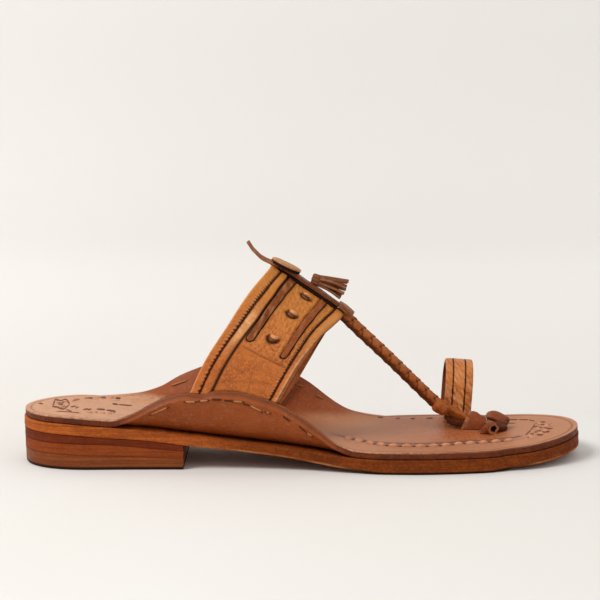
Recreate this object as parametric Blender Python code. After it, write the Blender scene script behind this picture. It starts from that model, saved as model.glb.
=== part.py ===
"""Kolhapuri sandal, right shoe: a leather sole with a stacked heel, an insole with two standing
ears, and an upper of one wide instep band, a braided strap and a toe loop.

+X points to the toe, +Y to the inner side of the foot and +Z up. The origin is on the floor
below the middle of the shoe. Sizes are in millimetres; MM turns them into metres. The tables'
x is measured from a waist line, MIDDLE_X behind the origin.
"""
import math

import bmesh
import bpy
import numpy as np

MM = 0.001

# Driving sizes
HEEL_TIP = -137.8
TOE_TIP = 139.8
MIDDLE_X = (HEEL_TIP + TOE_TIP) / 2
GAP = 0.3
HEEL_END = -104.0
TOE_START = 104.0
BREAST = -57.5
INSOLE_THICK = 3.4
INSOLE_INSET = 0.6
BAND_WALL = 2.0
BAND_STEP = 0.4
SIDES = {"lateral": -1.0, "medial": 1.0}


def table(columns, rows):
    """Rows of numbers as a dictionary of named columns."""
    return dict(zip(columns.split(), np.array(rows, float).T))


# Edge of the sole in plan before its ends are rounded: distance from the X axis
PLAN = table("x lateral medial", [
    (-104, 39.8, 25.6),
    (-80, 39.0, 26.0),
    (-58, 38.8, 25.6),
    (-40, 38.6, 24.6),
    (-20, 39.5, 24.8),
    (0, 41.7, 29.0),
    (20, 46.0, 38.0),
    (40, 49.8, 45.5),
    (56, 50.4, 49.0),
    (75, 48.6, 50.4),
    (90, 45.6, 49.0),
    (104, 40.2, 45.9),
    (139.8, 35.2, 41.8),
])
# Rounded ends in plan: quarter superellipses about a centre, one exponent a side
HEEL_CURVE = {"centre": -8.5, "lateral": 2.25, "medial": 1.85}
TOE_CURVE = {"centre": 3.0, "lateral": 1.94, "medial": 2.08}

# Outsole from the side
SOLE = table("x top bottom", [
    (-137.7, 22.9, 18.4),
    (-117, 22.6, 18.0),
    (-97.5, 21.2, 16.6),
    (-85, 20.1, 15.7),
    (-73, 18.9, 14.5),
    (-58, 16.9, 12.3),
    (-49, 15.8, 11.1),
    (-39.5, 14.5, 10.0),
    (-25, 12.9, 8.4),
    (-5.6, 11.0, 6.0),
    (9, 9.4, 3.6),
    (23, 7.7, 1.6),
    (40, 7.1, 0),
    (90, 7.1, 0),
    (106, 7.9, 1.5),
    (116, 8.8, 2.3),
    (126, 9.9, 3.4),
    (139.7, 11.8, 4.9),
])
# Under sides of the heel's first two lifts
HEEL = table("x dark_bottom middle_bottom", [
    (-137.7, 13.9, 9.8),
    (-117, 13.7, 9.4),
    (-97, 13.2, 8.8),
    (-59, 10.7, 6.8),
    (-57, 10.6, 6.7),
])
# How far the ears' rims stand above the insole's top
EARS = table("x lateral medial", [
    (-104, 0, 0),
    (-94, 0, 1.4),
    (-83, 3.8, 3.4),
    (-73, 10.0, 7.2),
    (-63, 15.9, 14.0),
    (-55, 17.9, 18.6),
    (-49, 18.1, 21.5),
    (-42, 20.5, 23.4),
    (-31, 21.5, 24.6),
    (-20, 20.0, 24.8),
    (-10, 17.3, 23.4),
    (-1, 12.9, 20.6),
    (5, 9.4, 17.6),
    (10, 6.2, 14.1),
    (15, 3.2, 10.2),
    (20, 1.4, 6.8),
    (26, 0, 3.8),
    (34, 0, 1.8),
    (44, 0, 0),
])
# An ear's section: inset of the fold and of the rim from the sole's edge, at full height
EAR_SHAPE = {
    "lateral": {"fold": 5.6, "rim": 0.8},
    "medial": {"fold": 6.0, "rim": -3.6},
}
EAR_FULL = 14.0
EAR_FLAT = 17.0
EAR_TIGHT = 0.92
EAR_SKIVE = 2.8

# Instep band from the side, by level: 0 where it leaves the ears and 1 at the crown
BAND = table("level x_rear z_rear x_front z_front", [
    (0, -53.9, 38.0, -10.4, 33.0),
    (0.25, -47.1, 52.6, -4.5, 43.1),
    (0.55, -35.8, 70.1, 3.2, 55.3),
    (0.8, -25.9, 84.6, 10.6, 64.6),
    (0.93, -18.9, 92.4, 16.4, 68.6),
    (1, -15.1, 96.0, 21.0, 71.6),
])
BAND_CENTRE = -3.5
BAND_HALF_REAR = 33.2
BAND_HALF_FRONT = 34.4
BAND_ROUND = 2.1
BAND_MEDIAL_SHIFT = {"rear": 6.5, "front": 8.5}
BAND_TAIL = {"x_rear": -57.5, "z_rear": 25.5, "x_front": -13.5, "z_front": 20.5}
REAR_STRIP = 0.235
FRONT_STRIP = 0.875
STEP_WIDTH = 0.012

# Raised inlay strips: their edges across the band at the crown and at their low ends, and the
# arch angles where they run
INLAYS = {
    "rear": {"start": (0.25, 0.272), "end": (0.34, 0.38), "low": 61.0, "high": 9.5},
    "front": {"start": (0.69, 0.725), "end": (0.775, 0.82), "low": 64.0, "high": 9.5},
}
INLAY_THICK = 0.9
# Nubs between the inlays: place across the band and arch angle
NUBS = table("across angle", [
    (0.535, 14.5),
    (0.56, 35.0),
    (0.54, 55.0),
])
NUB_RADIUS = 2.1
NUB_HEIGHT = 1.5

# Crown strap from its curled tail to the braid, at its middle height
STRAP = table("x z width thick", [
    (-27.0, 107.4, 2.8, 1.0),
    (-23.6, 102.4, 3.8, 1.1),
    (-18.6, 98.4, 5.0, 1.3),
    (-12.5, 95.6, 7.4, 2.2),
    (-5.0, 91.4, 9.2, 2.6),
    (5.0, 84.9, 9.4, 2.6),
    (15.0, 77.9, 9.0, 2.6),
    (22.0, 72.6, 7.6, 2.8),
    (26.5, 68.4, 4.8, 3.6),
])
DISC = {"x": -7.6, "z": 95.9, "tilt": 25.5, "radius": 7.9, "thick": 2.4}
COLLAR = {"x0": 18.3, "x1": 24.7, "wall": 1.1, "half": 5.0}

# Braid: route of its middle
BRAID = table("x y z", [
    (23.4, -1.6, 68.8),
    (29.0, -0.6, 63.2),
    (36.0, 1.2, 56.4),
    (44.0, 3.4, 48.6),
    (52.0, 5.8, 40.5),
    (60.0, 8.2, 32.4),
    (66.0, 10.0, 26.4),
    (71.5, 11.4, 21.8),
])
BRAID_RADIUS = 2.0
BRAID_RAISE = 0.75
BRAID_TURN = 12.8
BRAID_SIDES = 14
BRAID_STEP = 1.25

# Plain end of the braid, from the braid into the keeper, and the strand under it
PLAIN_END = table("x y z width thick", [
    (69.4, 10.9, 23.2, 4.2, 3.2),
    (74.0, 12.0, 19.8, 5.4, 2.6),
    (79.0, 12.8, 16.9, 5.2, 2.4),
    (84.0, 12.9, 15.0, 4.6, 2.2),
    (88.5, 12.2, 14.2, 4.2, 2.0),
])
UNDER_STRAND = table("x y z width thick", [
    (69.8, 11.0, 20.6, 3.2, 2.2),
    (73.0, 11.6, 16.2, 3.4, 2.0),
    (76.5, 14.4, 13.8, 3.6, 2.0),
    (79.5, 18.8, 13.2, 3.8, 2.0),
])

# Toe loop: arch over the big toe, outer surface, and its slanted legs
LOOP = {"near": 18.4, "far": 44.4, "top": 43.4, "x_top": 81.6, "x_foot": 79.6, "width": 14.0}
LOOP_WALL = 2.2
LOOP_BULGE = 0.8
LOOP_LEAN = 3.8

# Toe keeper: folded leather over the plain end, sections along X
KEEPER = table("x y half height lean", [
    (84.0, 13.0, 5.1, 8.9, 2.4),
    (87.2, 12.5, 5.1, 8.2, 1.0),
    (91.0, 11.4, 4.9, 7.0, 0),
    (93.6, 10.6, 4.2, 5.8, 0),
])
KEEPER_WALL = 1.5

# Toe knot: two rolled lobes as a run of round sections
KNOT_UPPER = table("x y z wide tall", [
    (97.0, 10.4, 15.8, 2.2, 1.8),
    (98.0, 7.4, 17.0, 3.0, 2.4),
    (99.6, 4.6, 16.8, 3.4, 2.7),
    (101.8, 3.4, 15.6, 3.0, 2.6),
    (103.6, 3.6, 14.2, 2.4, 2.0),
])
KNOT_LOWER = table("x y z wide tall", [
    (90.2, -3.6, 12.6, 1.0, 0.8),
    (92.6, -3.2, 13.4, 2.6, 1.8),
    (95.6, -1.6, 14.6, 3.4, 2.8),
    (98.4, 1.2, 15.4, 3.4, 3.0),
    (100.4, 3.8, 15.8, 2.6, 2.4),
])

TASSEL_HEAD = {"x": 7.4, "y": -0.8, "z": 88.6, "radius": 2.2, "height": 5.2, "tilt": 18.0}
# Tassel strips: direction down from level and out to the side, and length
TASSEL_STRIPS = table("rise down out length", [
    (1.3, 10.5, -6.0, 15.8),
    (0.9, 14.0, 14.0, 15.6),
    (0.4, 19.0, -16.0, 15.6),
    (-0.2, 24.0, 4.0, 15.4),
    (-1.2, 32.0, -8.0, 14.4),
    (-1.0, 26.0, 20.0, 14.6),
])
TASSEL_STRIP_WIDE = 2.6
TASSEL_STRIP_THICK = 1.4

# Finishes: base colour, roughness and metallic value
FINISHES = {
    "outsole_leather": ((0.36, 0.13, 0.045), 0.62, 0.0),
    "dark_lift_leather": ((0.105, 0.032, 0.014), 0.6, 0.0),
    "middle_lift_leather": ((0.27, 0.085, 0.032), 0.62, 0.0),
    "top_piece_leather": ((0.2, 0.075, 0.034), 0.5, 0.0),
    "insole_leather": ((0.5, 0.26, 0.15), 0.5, 0.0),
    "band_leather": ((0.52, 0.22, 0.065), 0.42, 0.0),
    "inlay_leather": ((0.2, 0.07, 0.03), 0.45, 0.0),
    "trim_leather": ((0.22, 0.08, 0.038), 0.5, 0.0),
    "disc_leather": ((0.5, 0.27, 0.13), 0.5, 0.0),
    "keeper_leather": ((0.33, 0.13, 0.06), 0.45, 0.0),
}


def smooth(rows, column, at, key="x"):
    """Cubic curve through a table's rows that never overshoots them."""
    x, y = rows[key], rows[column]
    at = np.clip(np.asarray(at, float), x[0], x[-1])
    step = np.diff(x)
    slope = np.diff(y) / step
    same = slope[:-1] * slope[1:] > 0
    safe = np.where(same, slope[:-1] + slope[1:], 1.0)
    inner = np.where(same, 2 * slope[:-1] * slope[1:] / safe, 0.0)
    tangent = np.concatenate([slope[:1], inner, slope[-1:]])
    i = np.clip(np.searchsorted(x, at, side="right") - 1, 0, len(step) - 1)
    t = (at - x[i]) / step[i]
    ease = t * t * (3 - 2 * t)
    return (y[i] * (1 - ease) + y[i + 1] * ease
            + step[i] * (t * (1 - t) ** 2 * tangent[i] - t * t * (1 - t) * tangent[i + 1]))


def plan_edge(x, side):
    """Y of the sole's edge at each x on one side."""
    x = np.asarray(x, float)
    edge = smooth(PLAN, side, x) * SIDES[side]
    for curve, start, limit in ((HEEL_CURVE, HEEL_END, HEEL_TIP),
                                (TOE_CURVE, TOE_START, TOE_TIP)):
        part = np.clip((x - start) / (limit - start), 0, 1)
        centre, power = curve["centre"], curve[side]
        edge = centre + (edge - centre) * (1 - part ** power) ** (1 / power)
    return edge


def plan_loop(heel_steps, straight_steps, toe_steps, front=None):
    """Edge of the sole in plan as a loop of points, from the heel's tip by the lateral side.

    The ends take even angles of a quarter turn. With front, the loop is cut straight there.
    """
    heel_turn = np.arange(heel_steps) / heel_steps * math.pi / 2
    heel = HEEL_END + (HEEL_TIP - HEEL_END) * np.cos(heel_turn)
    if front is None:
        straight = np.linspace(HEEL_END, TOE_START, straight_steps + 1)
        toe_turn = np.arange(1, toe_steps + 1) / toe_steps * math.pi / 2
        toe = TOE_START + (TOE_TIP - TOE_START) * np.sin(toe_turn)
        xs = np.concatenate([heel, straight, toe])
        back = xs[-2:0:-1]
    else:
        xs = np.concatenate([heel, np.linspace(HEEL_END, front, straight_steps + 1)])
        back = xs[:0:-1]
    lateral = np.column_stack([xs, plan_edge(xs, "lateral")])
    medial = np.column_stack([back, plan_edge(back, "medial")])
    return np.vstack([lateral, medial])


def inward(loop, breast=False):
    """Mitred inward directions at a loop's points, scaled to keep an even inset.

    With breast, the loop's straight front end stays where it is.
    """
    ahead = np.roll(loop, -1, axis=0) - loop
    ahead /= np.linalg.norm(ahead, axis=1, keepdims=True)
    left = np.column_stack([-ahead[:, 1], ahead[:, 0]])
    before = np.roll(left, 1, axis=0)
    total = left + before
    mitre = total / np.maximum(0.35, 1 + np.sum(left * before, axis=1, keepdims=True))
    if breast:
        corner = len(loop) // 2
        mitre[corner:corner + 2, 0] = 0.0
    return mitre


def unit(vectors):
    """Vectors made one long."""
    return vectors / np.maximum(1e-9, np.linalg.norm(vectors, axis=-1, keepdims=True))


def new_solid(name, points, faces, finish, collection="kolhapuri_sandal"):
    """One closed body as a named object; its faces are turned to point out."""
    mesh = bpy.data.meshes.new(name)
    placed = (np.asarray(points) - [MIDDLE_X, 0.0, 0.0]) * MM
    mesh.from_pydata(placed.tolist(), [], faces)
    work = bmesh.new()
    work.from_mesh(mesh)
    bmesh.ops.recalc_face_normals(work, faces=work.faces)
    work.to_mesh(mesh)
    work.free()
    mesh.shade_smooth()
    mesh.set_sharp_from_angle(angle=math.radians(35))
    mesh.materials.append(bpy.data.materials[finish])
    solid = bpy.data.objects.new(name, mesh)
    bpy.data.collections[collection].objects.link(solid)
    return solid


def ring_faces(count, around):
    """Quads between each ring of points and the next."""
    step = np.arange(around)
    nxt = (step + 1) % around
    return [(int(r * around + a), int(r * around + b), int((r + 1) * around + b),
             int((r + 1) * around + a)) for r in range(count - 1) for a, b in zip(step, nxt)]


def ladder_faces(around, offset):
    """Rungs across a plan loop, from the point at the heel's tip forward."""
    faces = []
    for k in range((around - 1) // 2 + 1):
        rung = [k, k + 1, around - k - 1, (around - k) % around]
        rung = list(dict.fromkeys(rung))
        if len(rung) > 2:
            faces.append(tuple(offset + i for i in rung))
    return faces


def plan_solid(name, rings, finish):
    """Rings that follow the plan loop, closed by ladders under the first and over the last."""
    rings = np.asarray(rings)
    count, around = rings.shape[:2]
    faces = ring_faces(count, around)
    faces += ladder_faces(around, 0) + ladder_faces(around, (count - 1) * around)
    return new_solid(name, rings.reshape(-1, 3), faces, finish)


def swept_solid(name, rings, finish, collection="kolhapuri_sandal"):
    """Rings along a path, closed by one flat face at each end."""
    rings = np.asarray(rings)
    count, around = rings.shape[:2]
    faces = ring_faces(count, around)
    faces += [tuple(range(around)), tuple(range((count - 1) * around, count * around))]
    return new_solid(name, rings.reshape(-1, 3), faces, finish, collection)


def join(solid, others):
    """Union of a solid with others, which stay as hidden wires in the cutters' collection."""
    for other in others:
        union = solid.modifiers.new("join_" + other.name, "BOOLEAN")
        union.operation = "UNION"
        union.solver = "EXACT"
        union.object = other
        other.hide_render = True
        other.display_type = "WIRE"


def layer(name, loop, levels, finish, breast=False):
    """A sole layer: each level is an inset from the plan loop and a height at each x."""
    direction = inward(loop, breast)
    rings = []
    for inset, height in levels:
        ring = loop + direction * inset
        rings.append(np.column_stack([ring, height(ring[:, 0])]))
    return plan_solid(name, rings, finish)


def sole_height(column, lift=0.0):
    """Height function of one outsole surface, moved up by lift."""
    return lambda x: smooth(SOLE, column, x) + lift


def heel_height(column, lift=0.0):
    """Height function of one lift's under side, moved up by lift."""
    return lambda x: smooth(HEEL, column, x) + lift


def build_outsole():
    """One leather layer with its long waist, toe spring and rounded lower edge."""
    loop = plan_loop(6, 26, 8)
    layer("outsole", loop, [
        (1.0, sole_height("bottom")),
        (0.15, sole_height("bottom", 0.8)),
        (0.0, sole_height("top", -0.5)),
        (0.5, sole_height("top")),
    ], "outsole_leather")


def build_heel():
    """Three lifts under the outsole, cut straight at the breast."""
    loop = plan_loop(7, 5, 0, front=BREAST)
    floor = np.zeros_like
    layer("heel_lift_dark", loop, [
        (0.25, heel_height("dark_bottom", GAP)),
        (0.2, sole_height("bottom", -GAP)),
    ], "dark_lift_leather", breast=True)
    layer("heel_lift_middle", loop, [
        (0.45, heel_height("middle_bottom", GAP)),
        (0.3, heel_height("dark_bottom")),
    ], "middle_lift_leather", breast=True)
    layer("heel_top_piece", loop, [
        (1.7, floor),
        (0.8, lambda x: floor(x) + 0.9),
        (0.5, heel_height("middle_bottom")),
    ], "top_piece_leather", breast=True)


def insole_top(x):
    """Height of the insole's flat top at each x."""
    return smooth(SOLE, "top", x) + GAP + INSOLE_THICK


def ear_section(x, side, t):
    """Inner face of the insole across its edge at x: inset and height above the flat.

    t runs from the flat to the rim. The curve is a cubic with both handles near the fold, so
    it is a flat, a tight bend and a nearly straight wall.
    """
    x = np.asarray(x, float)
    height = smooth(EARS, side, x)
    full = np.clip(height / EAR_FULL, 0, 1)
    full = full * full * (3 - 2 * full)
    shape = EAR_SHAPE[side]
    fold = shape["fold"] * full + (EAR_FLAT + INSOLE_INSET) / 2 * (1 - full)
    rim = shape["rim"] * full + INSOLE_INSET * (1 - full)
    handle_in = EAR_FLAT + (fold - EAR_FLAT) * EAR_TIGHT
    handle_out = rim + (fold - rim) * EAR_TIGHT
    b0, b1, b2, b3 = (1 - t) ** 3, 3 * t * (1 - t) ** 2, 3 * t * t * (1 - t), t ** 3
    inset = EAR_FLAT * b0 + handle_in * b1 + handle_out * b2 + rim * b3
    rise = height * (1 - EAR_TIGHT) * b2 + height * b3
    return inset, rise


def side_blend(loop, lateral, medial):
    """Lateral values on the lateral half of a plan loop, medial on the other."""
    heel_tip, toe_tip = 0, len(loop) // 2
    index = np.arange(len(loop))
    value = np.where(index <= toe_tip, lateral, medial)
    value[heel_tip] = (lateral[heel_tip] + medial[heel_tip]) / 2
    return value


def build_insole():
    """Insole and both ears as one leather piece with a skived rim."""
    loop = plan_loop(6, 28, 8)
    direction = inward(loop)
    x = loop[:, 0]
    thick = insole_top(x) - smooth(SOLE, "top", x) - GAP
    inner, outer = [], []
    for t in (0.0, 0.3, 0.44, 0.52, 0.6, 0.72, 1.0):
        pairs = [ear_section(x, side, t) for side in SIDES]
        ahead = [ear_section(x, side, t + 0.01) for side in SIDES]
        inset, rise = (side_blend(loop, a, b) for a, b in zip(*pairs))
        inset_next, rise_next = (side_blend(loop, a, b) for a, b in zip(*ahead))
        run, climb = inset - inset_next, rise_next - rise
        length = np.maximum(1e-6, np.hypot(run, climb))
        out_part, up_part = climb / length, run / length
        skive = EAR_SKIVE * np.clip(rise / EAR_FULL, 0, 1) * (t == 1.0)
        ring = loop + direction * inset[:, None]
        base = insole_top(ring[:, 0])
        inner.append(np.column_stack([ring, base + rise]))
        under = loop + direction * (inset - thick * out_part + skive * up_part)[:, None]
        outer.append(np.column_stack([under, base + rise - thick * up_part - skive * out_part]))
    plan_solid("insole", outer + inner[::-1], "insole_leather")


def ear_wall(x, z, side):
    """Distance from the centre line to the ear's inner face at a place above the fold."""
    t = np.linspace(0, 1, 60)
    wall = np.empty(np.shape(x))
    for i in np.ndindex(wall.shape):
        inset, rise = ear_section(x[i], side, t)
        y = abs(plan_edge(x[i], side)) - inset
        slope = (y[-1] - y[-12]) / max(1e-6, rise[-1] - rise[-12])
        above = z[i] - insole_top(x[i])
        wall[i] = np.interp(above, rise, y) + max(0.0, above - rise[-1]) * max(slope, 0.2)
    return wall


def band_points(angle, across):
    """Outer face of the band: angle round the arch in degrees, across from rear to front.

    Each edge leans in the side view by its table, and its width is a superellipse by level.
    Past 90 degrees it runs down inside the ear. A straight line joins the two edges.
    """
    angle, across = np.broadcast_arrays(np.asarray(angle, float), np.asarray(across, float))
    turn = np.radians(np.minimum(abs(angle), 90.0))
    tail = np.clip((abs(angle) - 90.0) / 30.0, 0, 1)
    level = np.cos(turn) ** (2 / BAND_ROUND)
    wide = np.sin(turn) ** (2 / BAND_ROUND)
    edges = []
    for name, half in (("rear", BAND_HALF_REAR), ("front", BAND_HALF_FRONT)):
        x = smooth(BAND, "x_" + name, level, key="level")
        z = smooth(BAND, "z_" + name, level, key="level")
        x = x + (BAND_TAIL["x_" + name] - x) * tail
        z = z + (BAND_TAIL["z_" + name] - z) * tail
        x = x + BAND_MEDIAL_SHIFT[name] * wide * (angle > 0)
        y = BAND_CENTRE + np.sign(angle) * half * wide
        edges.append(np.stack([x, y, z], axis=-1))
    point = edges[0] + (edges[1] - edges[0]) * across[..., None]
    for side, sign in SIDES.items():
        low = (angle * sign > 60) & (np.sign(angle) == sign)
        if low.any():
            room = ear_wall(point[low][:, 0], point[low][:, 2], side) - GAP - BAND_STEP - 0.1
            y = point[low][:, 1]
            point[low, 1] = sign * np.minimum(y * sign, room)
    return point


def face_normals(grid):
    """Unit normals of a grid of points by central differences, pointing away from the foot."""
    along = np.gradient(grid, axis=0)
    across = np.gradient(grid, axis=1)
    normal = unit(np.cross(along, across))
    outward = grid - np.array([0.0, BAND_CENTRE, 40.0])
    flip = np.sign(np.sum(normal * outward, axis=-1, keepdims=True))
    return normal * np.where(flip == 0, 1, flip)


def band_face(angles, across, raise_by):
    """Band points moved out along their normals."""
    grid = band_points(angles[:, None], across[None, :])
    return grid + face_normals(grid) * raise_by


def build_band():
    """The wide instep band: one wall with its two edge strips a step thicker."""
    angles = np.concatenate([[-120, -108, -97], np.linspace(-90, 90, 27), [97, 108, 120]])
    across = np.array([0, REAR_STRIP - STEP_WIDTH, REAR_STRIP, 0.4, 0.64, FRONT_STRIP,
                       FRONT_STRIP + STEP_WIDTH, 1])
    raised = np.array([1, 1, 0, 0, 0, 0, 1, 1]) * BAND_STEP
    outer = band_face(angles, across, 0.0)
    normal = face_normals(outer)
    inner = outer - normal * BAND_WALL
    outer = outer + normal * raised[None, :, None]
    rings = np.concatenate([outer, inner[:, ::-1]], axis=1)
    return swept_solid("upper", rings, "band_leather")


def build_inlays():
    """Dark raised strips over the band, one each side at the rear and at the front."""
    for place, inlay in INLAYS.items():
        for side, sign in SIDES.items():
            part = np.linspace(0, 1, 9)[:, None]
            angles = (inlay["high"] + (inlay["low"] - inlay["high"]) * part) * sign
            start = inlay["start"][0] + (inlay["start"][1] - inlay["start"][0]) * part
            end = inlay["end"][0] + (inlay["end"][1] - inlay["end"][0]) * part
            across = start + (end - start) * np.array([0.0, 0.1, 0.9, 1.0])
            grid = band_points(angles, across)
            normal = face_normals(grid)
            thick = INLAY_THICK * np.array([0.5, 1, 1, 0.5])[None, :, None]
            low = grid + normal * GAP
            high = low + normal * thick
            rings = np.concatenate([high, low[:, ::-1]], axis=1)
            squeeze = 0.35
            centre = rings[-1].mean(axis=0)
            rings[-1] = centre + (rings[-1] - centre) * (1 - squeeze)
            swept_solid("inlay_" + place + "_" + side, rings, "inlay_leather")


def build_nubs():
    """Small leather domes between the inlays, three on each side of the crown."""
    for side, sign in SIDES.items():
        for number, (across, angle) in enumerate(zip(NUBS["across"], NUBS["angle"]), 1):
            spread = np.array([-0.04, 0.0, 0.04])
            grid = band_points(np.array([angle - 3, angle, angle + 3])[:, None] * sign,
                               across + spread[None, :])
            normal = face_normals(grid)[1, 1]
            forward = unit(grid[1, 2] - grid[1, 0])
            aside = np.cross(normal, forward)
            turn = np.arange(10) / 10 * 2 * math.pi
            circle = np.cos(turn)[:, None] * forward + np.sin(turn)[:, None] * aside
            rings = [grid[1, 1] + normal * (GAP + 0.25 + NUB_HEIGHT * rise) + circle * wide
                     for rise, wide in ((0, NUB_RADIUS), (0.45, NUB_RADIUS * 0.92),
                                        (0.85, NUB_RADIUS * 0.6), (1.0, NUB_RADIUS * 0.2))]
            swept_solid("nub_" + side + "_" + str(number), rings, "trim_leather")


def strip_rings(path, side_way, width, thick):
    """Rectangular sections with cut corners along a path, wide along side_way."""
    ahead = unit(np.gradient(path, axis=0))
    wide = unit(side_way - ahead * np.sum(ahead * side_way, axis=-1, keepdims=True))
    up = np.cross(wide, ahead)
    corners = np.array([(-1, -0.6), (-0.8, -1), (0.8, -1), (1, -0.6),
                        (1, 0.6), (0.8, 1), (-0.8, 1), (-1, 0.6)])
    return (path[:, None] + corners[None, :, :1] * wide[:, None] * width[:, None, None] / 2
            + corners[None, :, 1:] * up[:, None] * thick[:, None, None] / 2)


def table_path(rows, steps, middle_y=BAND_CENTRE + 1.5):
    """Smooth path, width and thickness through a strap's table, evenly by row number."""
    number = np.arange(len(rows["x"]), dtype=float)
    at = np.linspace(0, number[-1], steps)
    rows = dict(rows, number=number)
    if "y" not in rows:
        rows["y"] = np.full(len(number), middle_y)
    columns = [smooth(rows, name, at, key="number") for name in ("x", "y", "z")]
    width = smooth(rows, "width", at, key="number") if "width" in rows else None
    thick = smooth(rows, "thick", at, key="number") if "thick" in rows else None
    return np.column_stack(columns), width, thick


def strap_strip(name, rows, steps):
    """A flat leather strip along a table's route, kept among the hidden helpers."""
    path, width, thick = table_path(rows, steps)
    side_way = np.broadcast_to(np.array([0.0, 1.0, 0.0]), path.shape)
    rings = strip_rings(path, side_way, width, thick)
    return swept_solid(name, rings, "band_leather", "sandal_cutters")


def even_path(rows, step):
    """Points a fixed step apart along a smooth curve through a table's rows."""
    path, _, _ = table_path(rows, 20 * len(rows["x"]))
    run = np.concatenate([[0], np.cumsum(np.linalg.norm(np.diff(path, axis=0), axis=1))])
    at = np.linspace(0, run[-1], int(run[-1] / step) + 1)
    return np.column_stack([np.interp(at, run, path[:, i]) for i in range(3)]), at


def build_braid():
    """Round plait: a tube with two families of strands raised where they wind over it."""
    path, run = even_path(BRAID, BRAID_STEP)
    ahead = unit(np.gradient(path, axis=0))
    aside = unit(np.cross(ahead, np.array([0.0, 0.0, 1.0])))
    up = np.cross(aside, ahead)
    turn = np.arange(BRAID_SIDES) / BRAID_SIDES * 2 * math.pi
    wind = run[:, None] / BRAID_TURN * 2 * math.pi
    left = abs(np.cos(turn[None, :] - wind)) ** 3
    right = abs(np.cos(turn[None, :] + wind)) ** 3
    radius = (BRAID_RADIUS + BRAID_RAISE * np.maximum(left, right))[..., None]
    rings = path[:, None] + radius * (np.cos(turn)[None, :, None] * aside[:, None]
                                      + np.sin(turn)[None, :, None] * up[:, None])
    return swept_solid("braid", rings, "trim_leather", "sandal_cutters")


def build_toe_loop():
    """Ring of leather over the big toe: an arch across the shoe, its legs at the insole."""
    foot = float(insole_top(LOOP["x_foot"])) + GAP + 0.3
    centre = (LOOP["near"] + LOOP["far"]) / 2
    half = (LOOP["far"] - LOOP["near"]) / 2
    spring = LOOP["top"] - half * 1.12
    legs = np.linspace(0, 1, 4)[:-1]
    arch = np.linspace(0, math.pi, 19)
    bulge = LOOP_BULGE * np.sin(legs * math.pi / 2)
    near_y = LOOP["near"] + LOOP_BULGE - bulge
    y = np.concatenate([near_y, centre - half * np.cos(arch), (LOOP["far"] + LOOP["near"]
                                                              - near_y)[::-1]])
    leg_z = foot + (spring - foot) * legs
    z = np.concatenate([leg_z, spring + (LOOP["top"] - spring) * np.sin(arch), leg_z[::-1]])
    part = (z - foot) / (LOOP["top"] - foot)
    x = LOOP["x_foot"] + (LOOP["x_top"] - LOOP["x_foot"]) * part
    path = np.column_stack([x, y, z])
    ahead = unit(np.gradient(path, axis=0))
    lean = math.radians(LOOP_LEAN)
    wide = np.broadcast_to(np.array([math.cos(lean), 0.0, -math.sin(lean)]), path.shape)
    out = unit(np.cross(wide, ahead))
    out *= np.sign(np.sum(out * (path - [LOOP["x_foot"], centre, foot]), axis=1))[:, None]
    section = np.array([(-1, -0.4), (-0.86, 0), (-0.5, 0), (-0.46, -0.2), (0.4, -0.2), (0.44, 0),
                        (0.86, 0), (1, -0.4), (0.94, -1), (-0.94, -1)])
    rings = (path[:, None] + section[None, :, :1] * wide[:, None] * LOOP["width"] / 2
             + section[None, :, 1:] * out[:, None] * LOOP_WALL)
    return swept_solid("toe_loop", rings, "band_leather", "sandal_cutters")


def build_disc():
    """Disc button on the crown: a low turned dome over a thicker rim."""
    tilt = math.radians(DISC["tilt"])
    axis = np.array([math.sin(tilt), 0.0, math.cos(tilt)])
    ahead = np.array([math.cos(tilt), 0.0, -math.sin(tilt)])
    aside = np.array([0.0, 1.0, 0.0])
    turn = np.arange(24) / 24 * 2 * math.pi
    circle = np.cos(turn)[:, None] * ahead + np.sin(turn)[:, None] * aside
    centre = np.array([DISC["x"], BAND_CENTRE + 1.5, DISC["z"]])
    profile = ((0.86, -0.5), (1.0, -0.2), (1.0, 0.2), (0.93, 0.45), (0.55, 0.56))
    rings = [centre + axis * rise * DISC["thick"] + circle * wide * DISC["radius"]
             for wide, rise in profile]
    swept_solid("disc_button", rings, "disc_leather")


def build_collar():
    """Dark wrap over the strap where the braid starts: a saddle open below."""
    xs = np.linspace(COLLAR["x0"], COLLAR["x1"], 5)
    z = smooth(STRAP, "z", xs)
    thick = smooth(STRAP, "thick", xs) / 2
    turn = np.radians(np.linspace(-90, 90, 9))
    rings = []
    for x, height, rise in zip(xs, z, thick):
        up = np.array([0.55, 0.0, 0.835])
        middle = np.array([x, BAND_CENTRE + 1.5, height])
        inner_half, inner_rise = COLLAR["half"], rise + GAP + 0.1
        arcs = []
        for grow in (COLLAR["wall"], 0.0):
            y = (inner_half + grow) * np.sin(turn)
            lift = (inner_rise + grow) * np.cos(turn) ** 0.5
            arcs.append(middle + y[:, None] * np.array([0, 1.0, 0]) + lift[:, None] * up)
        rings.append(np.vstack([arcs[0], arcs[1][::-1]]))
    swept_solid("strap_collar", rings, "trim_leather")


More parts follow.
